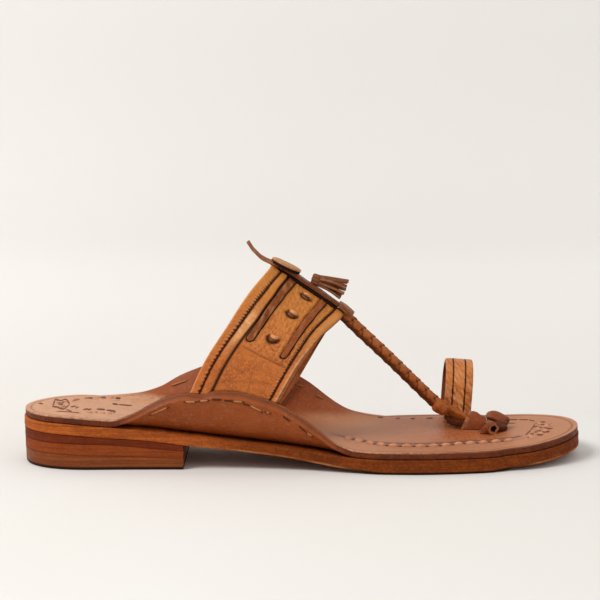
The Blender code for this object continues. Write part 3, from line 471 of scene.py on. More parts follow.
def side_blend(loop, lateral, medial):
    """Lateral values on the lateral half of a plan loop, medial on the other."""
    toe_tip = len(loop) // 2
    value = np.where(np.arange(len(loop)) <= toe_tip, lateral, medial)
    value[0] = (lateral[0] + medial[0]) / 2
    return value


def insole_top(x):
    """Height of the insole's flat top at each x."""
    return smooth(SOLE, "top", x) + GAP + INSOLE_THICK


def ear_section(x, side, t):
    """Inner face of the insole across its edge at x: inset and height above the flat.

    t runs from the flat to the rim along a cubic whose handles both lie near the fold.
    """
    x = np.asarray(x, float)
    height = smooth(EARS, side, x)
    full = ramp(height, 0, EAR_FULL)
    shape = EAR_SHAPE[side]
    fold = shape["fold"] * full + (EAR_FLAT + INSOLE_INSET) / 2 * (1 - full)
    rim = shape["rim"] * full + INSOLE_INSET * (1 - full)
    handle_in = EAR_FLAT + (fold - EAR_FLAT) * EAR_TIGHT
    handle_out = rim + (fold - rim) * EAR_TIGHT
    b0, b1, b2, b3 = (1 - t) ** 3, 3 * t * (1 - t) ** 2, 3 * t * t * (1 - t), t ** 3
    inset = EAR_FLAT * b0 + handle_in * b1 + handle_out * b2 + rim * b3
    rise = height * (1 - EAR_TIGHT) * b2 + height * b3
    return inset, rise


def pick(grid, number):
    """One value of each row of a grid, by its number along the last axis."""
    return np.take_along_axis(grid, number[..., None], -1)[..., 0]


def between(grid_in, grid_out, at):
    """Reads grid_out where grid_in, rising along its last axis, reaches at."""
    number = np.clip((grid_in < at[..., None]).sum(-1), 1, grid_in.shape[-1] - 1)
    low, high = pick(grid_in, number - 1), pick(grid_in, number)
    part = np.clip((at - low) / np.maximum(1e-6, high - low), 0, 1)
    first, last = pick(grid_out, number - 1), pick(grid_out, number)
    return first + (last - first) * part


def ear_wall(x, z, side):
    """Distance from the centre line to the ear's inner face at a place above the fold."""
    inset, rise = ear_section(x[..., None], side, EAR_STEPS)
    y = abs(plan_edge(x, side))[..., None] - inset
    slope = (y[..., -1] - y[..., -12]) / np.maximum(1e-6, rise[..., -1] - rise[..., -12])
    above = z - insole_top(x)
    over = np.maximum(0.0, above - rise[..., -1])
    return between(rise, y, above) + over * np.maximum(slope, 0.2)


def insole_height(x, y):
    """Height of the insole's upper face over a place in plan, ears' feet included."""
    x, y = np.broadcast_arrays(np.asarray(x, float), np.asarray(y, float))
    height = insole_top(x)
    middle = (plan_edge(x, "lateral") + plan_edge(x, "medial")) / 2
    for side, sign in SIDES.items():
        inset, rise = ear_section(x[..., None], side, EAR_STEPS)
        here = abs(plan_edge(x, side)) - y * sign
        lift = between(-inset, rise, -here)
        height = np.where(((y - middle) * sign > 0) & (here < EAR_FLAT), height + lift, height)
    return height


def ear_normal(here, beyond):
    """Outward and upward parts of an ear section's normal, from two places along it."""
    run, climb = here[0] - beyond[0], beyond[1] - here[1]
    far = np.maximum(1e-6, np.hypot(run, climb))
    return climb / far, run / far


def ear_face(x, side, t, outer=True, lift=0.0):
    """A place on an ear's outer or inner face, moved out of the leather by lift.

    Outer is the inner face moved out by the insole's thickness along the section's normal.
    """
    inset, rise = ear_section(x, side, t)
    out, up = ear_normal((inset, rise), ear_section(x, side, t + 0.01))
    move = INSOLE_THICK + lift if outer else -lift
    y = plan_edge(x, side) - SIDES[side] * (inset - move * out)
    return np.stack([np.asarray(x, float), y, insole_top(x) + rise - move * up], axis=-1)


def band_points(angle, across):
    """Base face of the band: angle round the arch in degrees, across from rear to front.

    Each edge leans in the side view by its table, and its width is a superellipse by level.
    Past 90 degrees it runs down inside the ear. A straight line joins the two edges.
    """
    angle, across = np.broadcast_arrays(np.asarray(angle, float), np.asarray(across, float))
    turn = np.radians(np.minimum(abs(angle), 90.0))
    tail = np.clip((abs(angle) - 90.0) / 30.0, 0, 1)
    level = np.cos(turn) ** (2 / BAND_ROUND)
    wide = np.sin(turn) ** (2 / BAND_ROUND)
    edges = []
    for name, half in BAND_HALF.items():
        x = smooth(BAND, "x_" + name, level, key="level")
        z = smooth(BAND, "z_" + name, level, key="level")
        x = x + (BAND_TAIL["x_" + name] - x) * tail
        z = z + (BAND_TAIL["z_" + name] - z) * tail
        x = x + BAND_MEDIAL_SHIFT[name] * wide * (angle > 0) * (1 - 0.8 * tail)
        y = BAND_CENTRE + np.sign(angle) * half * wide
        edges.append(np.stack([x, y, z], axis=-1))
    point = edges[0] + (edges[1] - edges[0]) * across[..., None]
    for side, sign in SIDES.items():
        low = angle * sign > 60
        if low.any():
            room = ear_wall(point[low][:, 0], point[low][:, 2], side) - GAP - BAND_STEP - 0.1
            point[low, 1] = sign * np.minimum(point[low][:, 1] * sign, room)
    return point


def away(grid):
    """Unit normals of a grid of band points by central differences, away from the foot."""
    normal = unit(np.cross(np.gradient(grid, axis=0), np.gradient(grid, axis=1)))
    outward = grid - FOOT_MIDDLE
    flip = np.sign(np.sum(normal * outward, axis=-1, keepdims=True))
    return normal * np.where(flip == 0, 1, flip)


def band_spot(angle, across, lift):
    """Points at a height over the band's base face, with its normal and its two directions."""
    angle, across = np.broadcast_arrays(np.asarray(angle, float), np.asarray(across, float))
    here = band_points(angle, across)
    down = band_points(angle + 0.5 * np.where(angle < 0, -1, 1), across) - here
    ahead = band_points(angle, across + 0.01) - here
    normal = unit(np.cross(ahead, down))
    outward = np.sum(normal * (here - FOOT_MIDDLE), -1, keepdims=True)
    normal *= np.sign(outward)
    return here + normal * np.asarray(lift)[..., None], normal, unit(down), unit(ahead)


def table_path(rows, steps):
    """Smooth path through a table's x, y and z, evenly by row number, and its other columns."""
    number = np.arange(len(rows["x"]), dtype=float)
    at = np.linspace(0, number[-1], steps)
    rows = {"y": np.full(len(number), CROWN_Y), "z": number, **rows}
    read = {name: smooth(dict(rows, number=number), name, at, key="number") for name in rows}
    path = np.column_stack([read.pop(name) for name in "xyz"])
    return path, *read.values()


def even(path, step):
    """Points an even step apart along a path, and the length run up to each."""
    run = np.concatenate([[0], np.cumsum(np.linalg.norm(np.diff(path, axis=0), axis=1))])
    at = np.linspace(0, run[-1], int(run[-1] / step) + 1)
    return np.column_stack([np.interp(at, run, path[:, i]) for i in range(3)]), at


def path_frame(path):
    """Unit directions along a path, level across it and up from it."""
    ahead = unit(np.gradient(path, axis=0))
    aside = unit(np.cross(ahead, UP))
    return ahead, aside, np.cross(aside, ahead)


def whole_turn(count):
    """Even angles once round a circle."""
    return np.arange(count) / count * 2 * math.pi


def turned(along, aside, turn):
    """Directions round a circle: cosine of the turn along one way, sine along the other."""
    return (np.cos(turn)[..., None] * along[..., None, :]
            + np.sin(turn)[..., None] * aside[..., None, :])


def leaning(tilt):
    """The axis of a piece on the crown, tilted to the toe, and the way ahead across it."""
    tilt = math.radians(tilt)
    return (np.array([math.sin(tilt), 0.0, math.cos(tilt)]),
            np.array([math.cos(tilt), 0.0, -math.sin(tilt)]))


# Meshes from grids


def grid_faces(rows, columns, closed=False):
    """Quads of a grid of points as one array of corner numbers. With closed, the last column
    joins the first."""
    r, c = np.meshgrid(np.arange(rows - 1), np.arange(columns if closed else columns - 1),
                       indexing="ij")
    nxt = (c + 1) % columns
    return np.stack([r * columns + c, r * columns + nxt, (r + 1) * columns + nxt,
                     (r + 1) * columns + c], axis=-1).reshape(-1, 4)


def tube(rings, masks, ends=True):
    """A closed body from rings of points along a path: (points, faces, masks).

    Each end closes with a ring halfway in and a pole at its middle.
    """
    masks = {name: np.broadcast_to(value, rings.shape[:2]) for name, value in masks.items()}
    if ends:
        first, last = rings[:1].mean(axis=1, keepdims=True), rings[-1:].mean(axis=1, keepdims=True)
        flat = np.ones_like(rings[:1])
        rings = np.concatenate([first * flat, (rings[:1] + first) / 2, rings,
                                (rings[-1:] + last) / 2, last * flat])
        masks = {name: np.concatenate([value[:1], value[:1], value, value[-1:], value[-1:]])
                 for name, value in masks.items()}
    rows, columns = rings.shape[:2]
    return (rings.reshape(-1, 3), grid_faces(rows, columns, closed=True),
            {name: value.ravel() for name, value in masks.items()})


def bits(starts, ends, ups, width, height, power=2.6, around=8, along=9, masks=None):
    """Many short stitches as one body list: each an oval section swept from start to end, its
    size a superellipse of the place along it, so both tips are poles."""
    starts, ends, ups = (np.atleast_2d(v) for v in (starts, ends, ups))
    ahead = unit(ends - starts)
    side = unit(np.cross(ahead, ups))
    up = np.cross(side, ahead)
    part = np.linspace(0, 1, along)[:, None]
    full = (1 - abs(2 * part - 1) ** power) ** (1 / power)
    turn = whole_turn(around)[:, None]
    width, height = (np.reshape(v, (-1, 1, 1)) for v in (width, height))
    ring = np.cos(turn) * side[:, None] * width / 2 + np.sin(turn) * up[:, None] * height
    line = starts[:, None] + (ends - starts)[:, None] * part
    points = line[:, :, None] + ring[:, None] * full[..., None]
    count, each = len(starts), along * around
    faces = grid_faces(along, around, closed=True) + np.arange(count)[:, None, None] * each
    masks = {name: np.repeat(np.broadcast_to(value, count), each)
             for name, value in (masks or {}).items()}
    return points.reshape(-1, 3), faces.reshape(-1, 4), masks


def oval(count, power):
    """A superellipse of half sizes 1: signed cosine and sine to the power of 2 over power."""
    turn = (np.arange(count) + 0.5) / count * 2 * math.pi
    return np.column_stack([np.sign(np.cos(turn)) * abs(np.cos(turn)) ** (2 / power),
                            np.sign(np.sin(turn)) * abs(np.sin(turn)) ** (2 / power)])


def strap_rings(path, side_way, width, thick, count=24, power=5.0):
    """Rounded rectangular sections along a path, wide along side_way."""
    ahead = unit(np.gradient(path, axis=0))
    side_way = np.broadcast_to(side_way, path.shape)
    wide = unit(side_way - ahead * np.sum(ahead * side_way, axis=-1, keepdims=True))
    up = np.cross(wide, ahead)
    section = oval(count, power) / 2
    width, thick = (np.reshape(v, (-1, 1, 1)) for v in (width, thick))
    return (path[:, None] + section[:, :1] * wide[:, None] * width
            + section[:, 1:] * up[:, None] * thick)


def strap_edge(count=24, power=5.0):
    """How far each point of a strap's section lies on its cut sides, 0 to 1."""
    return ramp(abs(oval(count, power)[:, 0]), 0.9, 1.0)


# Masks: cut edges; painted shade in gaps; wear and painted highlights; the tooled panel, painted
# lighter by angle;
# a painted reflection; dust; and the dark mask, for dark tooled lines and painted shade
MASKS = ("cut", "gap", "rub", "tool", "shine", "dust", "dark")


def add_piece(name, parts, leather, *replaced, sharp=50.0, slot=None):
    """Joins bodies as one mesh in metres, merges its poles, turns its faces out and gives it
    its masks, its leather and its place in the frame."""
    points, faces, start = [], [], 0
    masks = {key: [] for key in MASKS}
    for part_points, part_faces, part_masks in parts:
        points.append(part_points)
        faces.append(np.asarray(part_faces) + start)
        start += len(part_points)
        for key in MASKS:
            masks[key].append(np.broadcast_to(part_masks.get(key, 0.0), len(part_points)))
    placed = (np.vstack(points) - [MIDDLE_X, 0.0, 0.0]) * MM
    mesh = bpy.data.meshes.new(name)
    mesh.from_pydata(placed.tolist(), [], np.vstack(faces).tolist())
    for key, values in masks.items():
        attribute = mesh.attributes.new(key, "FLOAT", "POINT")
        attribute.data.foreach_set("value", np.concatenate(values).astype(np.float32))
    work = bmesh.new()
    work.from_mesh(mesh)
    bmesh.ops.remove_doubles(work, verts=work.verts, dist=2e-6)
    bmesh.ops.recalc_face_normals(work, faces=work.faces)
    work.to_mesh(mesh)
    work.free()
    mesh.shade_smooth()
    mesh.set_sharp_from_angle(angle=math.radians(sharp))
    mesh.materials.append(make_leather(leather))
    piece = bpy.data.objects.new(name, mesh)
    bpy.context.scene.collection.objects.link(piece)
    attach(piece, "root")
    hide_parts(*replaced)
    slot or LEATHERS[leather]["slot"]
    return piece


# Leathers


class Shade:
    """A node tree with short calls for the nodes that the leathers use."""

    def __init__(self, tree):
        self.tree = tree

    def node(self, kind, settings=None, **inputs):
        """One shader node; each input is a value or another node's output."""
        node = self.tree.nodes.new(kind)
        for key, value in (settings or {}).items():
            setattr(node, key, value)
        for key, value in inputs.items():
            socket = node.inputs[int(key[1:]) if key[1:].isdigit() else key.replace("_", " ")]
            if isinstance(value, bpy.types.NodeSocket):
                self.tree.links.new(value, socket)
            else:
                socket.default_value = value
        return node

    def calc(self, operation, first, second, clamp=False):
        """A value worked out from two others."""
        node = self.node("ShaderNodeMath", {"operation": operation, "use_clamp": clamp},
                         i0=first, i1=second)
        return node.outputs[0]

    def times(self, first, second):
        """The product of two values."""
        return self.calc("MULTIPLY", first, second)

    def total(self, *pairs):
        """A sum of values, each times its share."""
        parts = [self.times(value, share) for value, share in pairs]
        while len(parts) > 1:
            parts[:2] = [self.calc("ADD", parts[0], parts[1])]
        return parts[0]

    def send(self, sockets, **values):
        """Links values to sockets by their names."""
        for key, value in values.items():
            self.tree.links.new(value, sockets[key.replace("_", " ")])

    def mix(self, factor, first, second):
        """A colour between two others."""
        ends = [(*c, 1.0) if isinstance(c, (tuple, list)) else c for c in (first, second)]
        node = self.node("ShaderNodeMix", {"data_type": "RGBA"}, i0=factor, i6=ends[0], i7=ends[1])
        return node.outputs[2]

    def spread(self, value, low, high, to_low=0.0, to_high=1.0):
        """A value's range from low to high stretched to another range, clamped."""
        node = self.node("ShaderNodeMapRange", {"interpolation_type": "SMOOTHSTEP"}, Value=value,
                         From_Min=low, From_Max=high, To_Min=to_low, To_Max=to_high)
        return node.outputs[0]

    def noise(self, vector, scale, detail=4.0, rough=0.6, distort=0.0):
        """Noise from 0 to 1 at a place."""
        node = self.node("ShaderNodeTexNoise", None, Vector=vector, Scale=scale, Detail=detail,
                         Roughness=rough, Distortion=distort)
        return node.outputs["Fac"]

    def stretched(self, vector, scale):
        """A place scaled by three numbers, to draw a pattern out."""
        node = self.node("ShaderNodeMapping", None, Vector=vector, Scale=scale)
        return node.outputs[0]

    def mask(self, name):
        """A mask that the mesh carries."""
        return self.node("ShaderNodeAttribute", {"attribute_name": name}).outputs["Fac"]

    def group(self, tree, **inputs):
        """A node group with its inputs set."""
        node = self.node("ShaderNodeGroup", {"node_tree": tree}, **inputs)
        return node.outputs


def new_group(name, inputs, outputs):
    """An empty shader group with value inputs and outputs, and its object coordinates."""
    tree = bpy.data.node_groups.new(name, "ShaderNodeTree")
    for label, default in inputs.items():
        socket = tree.interface.new_socket(label, in_out="INPUT", socket_type="NodeSocketFloat")
        socket.default_value = default
    for label in outputs:
        tree.interface.new_socket(label, in_out="OUTPUT", socket_type="NodeSocketFloat")
    shade = Shade(tree)
    entry = shade.node("NodeGroupInput").outputs
    leave = shade.node("NodeGroupOutput").inputs
    place = shade.node("ShaderNodeTexCoord").outputs["Object"]
    return shade, entry, leave, place


@functools.cache
def grain_group():
    """Pebbled grain: cells drawn by a distorted Voronoi pattern, broken up by fine noise."""
    shade, entry, leave, place = new_group("Leather grain", {"Scale": 900.0}, ("Height", "Pore"))
    warp = shade.node("ShaderNodeTexNoise", None, Vector=place, Scale=240.0).outputs["Color"]
    moved = shade.node("ShaderNodeVectorMath", {"operation": "MULTIPLY_ADD"}, i0=warp,
                       i1=(0.0016, 0.0016, 0.0016), i2=place).outputs[0]
    cells = shade.node("ShaderNodeTexVoronoi", {"feature": "DISTANCE_TO_EDGE"}, Vector=moved,
                       Scale=entry["Scale"]).outputs["Distance"]
    fine = shade.noise(place, 2600.0, 3.0, 0.7)
    pebble = shade.spread(cells, 0.0, 0.28)
    shade.send(leave, Height=shade.total((pebble, 0.6), (fine, 0.4)),
               Pore=shade.spread(cells, 0.09, 0.0))
    return shade.tree


@functools.cache
def mottle_group():
    """Uneven dye: broad clouds, patches of a few millimetres and fine flecks of one."""
    shade, _, leave, place = new_group("Dye mottle", {}, ("Deep", "Pale", "Cloud", "Fleck"))
    broad = shade.noise(place, 70.0, 4.0, 0.6, 0.6)
    patch = shade.noise(place, 260.0, 5.0, 0.68, 1.0)
    fleck = shade.noise(place, 850.0, 4.0, 0.7, 0.4)
    both = shade.total((broad, 0.25), (patch, 0.3), (fleck, 0.45))
    light = shade.total((patch, 0.5), (fleck, 0.5))
    shade.send(leave, Deep=shade.spread(both, 0.465, 0.545), Pale=shade.spread(light, 0.505, 0.60),
               Cloud=patch, Fleck=fleck)
    return shade.tree


@functools.cache
def streak_group():
    """Long soft scuffs along the shoe: noise drawn out eight times along X."""
    shade, _, leave, place = new_group("Scuff streaks", {}, ("Streak",))
    streak = shade.noise(shade.stretched(place, (45.0, 300.0, 300.0)), 1.0, 5.0, 0.7, 0.5)
    shade.send(leave, Streak=shade.spread(streak, 0.5, 0.72))
    return shade.tree


@functools.cache
def fibre_group():
    """Cut edge: layers and fibres that run level round the sole, noise drawn out in plan."""
    shade, _, leave, place = new_group("Cut edge fibre", {}, ("Fibre", "Layer"))
    fibre = shade.noise(shade.stretched(place, (160.0, 160.0, 1900.0)), 1.0, 5.0, 0.75, 0.6)
    layer = shade.noise(shade.stretched(place, (14.0, 14.0, 900.0)), 1.0, 3.0, 0.6, 0.3)
    shade.send(leave, Fibre=fibre, Layer=shade.spread(layer, 0.44, 0.62))
    return shade.tree


@functools.cache
def tooling_group():
    """Stamped panel: short slanted hatches over rounder lumps, as a bright relief."""
    shade, entry, leave, place = new_group("Tooled panel", {"Scale": 900.0}, ("Height",))
    slanted = shade.node("ShaderNodeMapping", {"vector_type": "TEXTURE"}, Vector=place,
                         Rotation=(0.0, 0.55, 0.0), Scale=(0.8, 1.2, 2.8)).outputs[0]
    first = shade.noise(slanted, entry["Scale"], 3.0, 0.6, 0.5)
    second = shade.node("ShaderNodeTexVoronoi", {"feature": "SMOOTH_F1"}, Vector=place,
                        Scale=entry["Scale"], Smoothness=0.4).outputs["Distance"]
    shade.send(leave, Height=shade.calc("ADD", first, shade.times(second, 0.5)))
    return shade.tree


# Shares of a dye's red, green and blue in its deeper mottling, and of white in its paler one
DEEPER = (0.55, 0.45, 0.42)
PALER = (0.24, 0.17, 0.12)


def make_leather(name):
    """One leather: dye mottling, grain, scuffs, cut edges and dust, with painted shade in grooves and
    slits, painted highlights and a painted reflection, by masks.

    The colour is laid on in steps, each a mask and the colour that it brings.
    """
    if name in bpy.data.materials:
        return bpy.data.materials[name]
    spec, dye = LEATHERS[name], colours()
    base = tuple(getattr(dye, name))
    deep = tuple(getattr(dye, name + "_deep", [c * f for c, f in zip(base, DEEPER)]))
    pale = tuple(getattr(dye, name + "_pale", [c + (1 - c) * f for c, f in zip(base, PALER)]))
    dust = tuple(getattr(dye, name + "_dust", pale))
    light = tuple(1.05 * c + 0.25 * p for c, p in zip(base, pale))
    material = bpy.data.materials.new(name)
    material.use_nodes = True
    shade = Shade(material.node_tree)
    times, spread = shade.times, shade.spread
    grain = shade.group(grain_group(), Scale=spec["grain"])
    mottle = shade.group(mottle_group())
    streak = shade.group(streak_group())["Streak"]
    fibre = shade.group(fibre_group())
    tooling = shade.group(tooling_group(), Scale=1.0 / (size("tooling") * MM))["Height"]
    cut, gap, rub, tool, shine, powder, dark = (shade.mask(key) for key in MASKS)
    powder = times(powder, spread(mottle["Cloud"], 0.25, 0.6, 0.5, 1.0))
    # Wear and painted highlights of the rub mask, broken up by clouds
    worn = times(rub, spread(mottle["Cloud"], 0.3, 0.6, 0.35, 1.0))
    edge = shade.mix(times(spread(fibre["Fibre"], 0.45, 0.75), 0.25), tuple(dye.cut), base)
    edge = shade.mix(times(mottle["Deep"], 0.5), edge, tuple(dye.dark))
    steps = [(times(mottle["Deep"], spec["mottle"]), deep),
             (times(mottle["Pale"], spec["mottle"] * 0.6), light),
             (times(streak, spec["streak"] * 0.8), light)]
    if spec["fibre"]:
        steps += [(times(fibre["Layer"], spec["fibre"] * 0.7), deep),
                  (times(spread(fibre["Fibre"], 0.5, 0.75), spec["fibre"] * 0.5), light)]
    # Painted reflection on the insole's polished place, by the shine mask
    steps.append((times(shine, 0.8), tuple(dye.insole_gloss)))
    # Tooled panel: painted highlights on the hatches' highs and painted shade in their lows
    if name == "band":
        steps += [(times(times(tool, spread(tooling, 0.64, 0.84)), 0.6), light),
                  (times(times(tool, spread(tooling, 0.62, 0.46)), 0.6), deep)]
    # Then cut edges, dust, wear with painted highlights, pores, and painted shade by dark and gap
    # masks
    steps += [(cut, edge), (powder, dust), (worn, pale), (times(grain["Pore"], 0.3), deep),
              (dark, tuple(c * 0.5 for c in deep)), (gap, tuple(dye.dark))]
    paint = base
    for mask, over in steps:
        paint = shade.mix(mask, paint, over)
    rough = spread(mottle["Cloud"], 0.3, 0.7, spec["rough"] - 0.08, spec["rough"] + 0.12)
    for mask, more in ((powder, 0.12), (cut, 0.15), (gap, 0.3)):
        rough = shade.calc("ADD", rough, times(mask, more))
    rough = shade.calc("SUBTRACT", rough, times(shine, 0.18), clamp=True)
    side = shade.calc("ADD", cut, spec["fibre"], clamp=True)
    height = shade.total((grain["Height"], spec["depth"]), (mottle["Cloud"], 0.4),
                         (mottle["Fleck"], 0.3), (times(tooling, tool), 0.7),
                         (times(fibre["Fibre"], side), 0.2))
    bump = shade.node("ShaderNodeBump", None, Height=height, Strength=1.0, Distance=1.0 * MM)
    shader = material.node_tree.nodes["Principled BSDF"].inputs
    shade.send(shader, Base_Color=paint, Roughness=rough, Normal=bump.outputs[0])
    shader["Coat Weight"].default_value = spec["coat"]
    shader["Coat Roughness"].default_value = 0.3
    shader["Specular IOR Level"].default_value = spec["gloss"]
    return material


# Sole and insole


def layer_body(loop, levels, front=None):
    """A sole layer. Each level is an inset from the plan loop, a height at each x and its masks;
    the first and last level close in flat to the sole's spine."""
    direction = inward(loop, breast=front is not None)
    middle = spine(loop, front or TOE_START)
    first, last = levels[0], levels[-1]
    rings, masks = [], {key: [] for key in MASKS}
    for share, (inset, height, mask) in [(0.0, first), (0.4, first),
                                         *((1.0, level) for level in levels),
                                         (0.4, last), (0.0, last)]:
        ring = middle + (loop + direction * inset[:, None] - middle) * share
        rings.append(np.column_stack([ring, height(ring[:, 0])]))
        for key in MASKS:
            masks[key].append(np.broadcast_to(mask.get(key, 0.0), len(loop)))
    return tube(np.array(rings), {key: np.array(value) for key, value in masks.items()}, ends=False)


def table_height(rows, column, lift=0.0):
    """Height function of one surface in a table, moved up by lift."""
    return lambda x: smooth(rows, column, x) + lift


def side_levels(loop, low, high, inset_low, inset_high, round_low, round_high, steps=7, rough=0.1):
    """Levels up a layer's side: a quarter round at each edge and between them a side whose
    inset wavers with the cut, a ripple along the loop and up the side."""
    run = loop_run(loop)
    levels = []
    for bend in np.linspace(0, 1, 5) * math.pi / 2:
        lift = round_low * 0.8 * (1 - math.cos(bend))
        levels.append((inset_low + round_low * (1 - math.sin(bend)),
                       lambda x, d=lift: low(x) + d))
    for number in range(1, steps):
        share = number / steps
        waver = rough * ripple(11 + number // 3, run * 0.55, share * 4.0 + 0 * run)
        levels.append((inset_low + (inset_high - inset_low) * share + waver,
                       lambda x, s=share: (low(x) + round_low * 0.8) * (1 - s)
                       + (high(x) - round_high * 0.8) * s))
    for bend in np.linspace(0, 1, 4) * math.pi / 2:
        drop = round_high * 0.8 * (1 - math.sin(bend))
        levels.append((inset_high + round_high * (1 - math.cos(bend)),
                       lambda x, d=drop: high(x) - d))
    return [(inset + 0 * run, height, {}) for inset, height in levels]


def outsole_body():
    """The outsole: its side darkens towards the toe and its lower edge is worn pale."""
    loop = plan_loop(70, 240, 70)
    levels = side_levels(loop, table_height(SOLE, "bottom"), table_height(SOLE, "top"),
                         0.05, 0.1, 1.2, 0.35, steps=9, rough=0.09)
    x = loop[:, 0]
    fore = ramp(x, -62.0, -20.0)
    worn = fore * (0.55 + 0.45 * ripple(5, loop_run(loop) * 0.4))
    standing = ramp(x, 12.0, 34.0) * (1 - ramp(x, 96.0, 116.0))
    for number, (_, _, mask) in enumerate(levels):
        # Painted contact shadow on the lowest rounding, where the sole stands on the floor
        mask["gap"] = standing * (0.95 if number < 5 else 0.0)
        mask["rub"] = np.clip(worn, 0, 1) * (1 - standing) * (1.0 if number in (3, 4) else 0.0)
        mask["cut"] = fore * 0.75 * (1.0 if number > 4 else 0.6)
    return layer_body(loop, levels)


def lift_body(low, high, inset_low, inset_high, rough=0.05, worn=0.22):
    """One lift of the heel, cut straight at the breast, its lower edge worn round and darkened with
    painted shade.
    """
    loop = plan_loop(70, 48, 0, front=BREAST)
    levels = side_levels(loop, low, high, inset_low, inset_high, worn, 0.18, rough=rough)
    # Painted shade on the lowest levels, as strong as worn allows: a contact shadow under the top
    # piece
    for level in levels[:5]:
        level[2]["gap"] = min(0.95, worn)
    return layer_body(loop, levels, front=BREAST)


def round_corner(first, corner, last, steps):
    """A quadratic curve that rounds a corner: points between first and last drawn to it."""
    return [first * (1 - t) ** 2 + corner * 2 * t * (1 - t) + last * t * t
            for t in np.linspace(0, 1, steps)]


def flat_rings(loop, edge, middle):
    """Rings of the foot bed from its spine to the ears' feet, and how deep each place is cut.

    They crowd along the tooled seam, which is a soft dip with a low lip outside it.
    """
    x = loop[:, 0]
    seam = read_sides(loop, SEAM)
    reach = np.linalg.norm(edge - middle, axis=1)
    at_seam = np.clip(1 - (seam - EAR_FLAT) / np.maximum(reach, 1e-6), 0.05, 0.985)
    reach = np.maximum(reach, 20.0)
    tight = np.clip(0.28 * at_seam * reach / 7.0, 0, 1) / reach
    shares = np.concatenate([np.linspace(0, 0.7, 13)[None, :] * at_seam[:, None], at_seam[:, None]
                             + np.linspace(-7.0, 0.8, 19)[None, :] * tight[:, None]], axis=1)
    last = shares[:, -1:]
    shares = np.concatenate([shares, last + (1 - last) * np.linspace(0, 1, 6)[None, 1:-1]], axis=1)
    tooled = ramp(x, 12.0, 20.0) * (1 - ramp(x, 118.0, 124.0))
    tooled *= np.where(np.arange(len(x)) <= len(x) // 2, 1.0, ramp(x, 92.0, 97.0))
    rings, cuts = [], []
    for share in shares.T:
        ring = middle + (edge - middle) * share[:, None]
        off = (share - at_seam) * reach
        cut = bell(off, -4.8, 2.0) * tooled
        lip = 0.18 * ramp(off, 0.1, 1.2) * (1 - ramp(off, 1.6, 4.0)) * tooled
        rings.append(np.column_stack([ring, insole_top(ring[:, 0]) - 0.15 * cut + lip]))
        cuts.append(cut)
    return rings, np.array(cuts)


def insole_masks(rings, loop, rim, tall, cuts, from_rim):
    """Masks of the insole: its cut rim, seam, dust, the rim's wear and painted highlight, a painted
    reflection on the polished place, and painted shade in the crease by the rim and below the
    ears. rim holds the first and last row of the rim, tall how high each ear is."""
    first, last = rim
    low = 1 - ramp(tall, 0.5, 5.0)
    rows = np.arange(len(rings))[:, None]
    x, y = rings[..., 0], rings[..., 1]
    loop_x = loop[:, 0]
    toe = ramp(loop_x, 30.0, 100.0)
    masks = {key: np.zeros(rings.shape[:2]) for key in MASKS}
    masks["dark"][:len(cuts)] = cuts * 0.9
    # Painted shade in the crease 3.4 mm in from the rim
    masks["gap"][:first] = bell(from_rim, 3.4, 0.45) * low * 0.45
    on_edge = ramp(rows, first + 1, first + 4) * (1 - ramp(rows, last - 7, last - 3))
    masks["cut"][:] = np.maximum(on_edge, low * ramp(rows, first, first + 3))
    # Rim: wear and a painted highlight on its top edge, fading to the toe, where the edge is darker
    masks["cut"][:first] = np.maximum(masks["cut"][:first], 0.6 * bell(from_rim, 0.0, 1.0) * low * toe)
    chipped = np.clip(0.75 + 0.35 * ripple(23, loop_run(loop) * 3.5), 0.45, 1) * (1 - 0.8 * toe)
    masks["rub"][first:first + 3] = 0.95 * low * chipped + 0.25 * (1 - low)
    # Polished place under the toes: lower roughness and a painted reflection
    spot = np.exp(-(((x - 84.0) / 21.0) ** 2 + ((y + 4.0) / 19.0) ** 2) ** 2)
    masks["shine"][:first] = spot[:first]
    # Painted shadow below the ears, along their outer feet
    under = (1 - low) * ramp(rows, len(rings) - 14, len(rings) - 5)
    masks["gap"][:] = np.maximum(masks["gap"], under * 0.9)
    inside = ramp(x, -58.0, -46.0) * (1 - ramp(x, -12.0, 16.0))
    above = rings[..., 2] - insole_top(x)
    powder = (1 - 0.9 * spot) * (1 - 0.8 * inside) * (1 - 0.97 * ramp(above, 0.8, 4.5))
    powder *= 1 - 0.28 * ramp(x, 30.0, 50.0) * (1 - ramp(x, 96.0, 110.0))
    masks["dust"][:] = np.where(rows < first, powder, on_edge * 0.15 * (1 - low))
    heel = 0.6 * (1 - ramp(x, -72.0, -50.0)) * powder
    # Wear and a painted highlight on the flat along the rim, fading to the toe
    rub = 0.9 * bell(from_rim, 0.0, 1.3) * low * (1 - 0.8 * toe)
    masks["rub"][:first] = np.maximum(rub, heel[:first])
    return masks


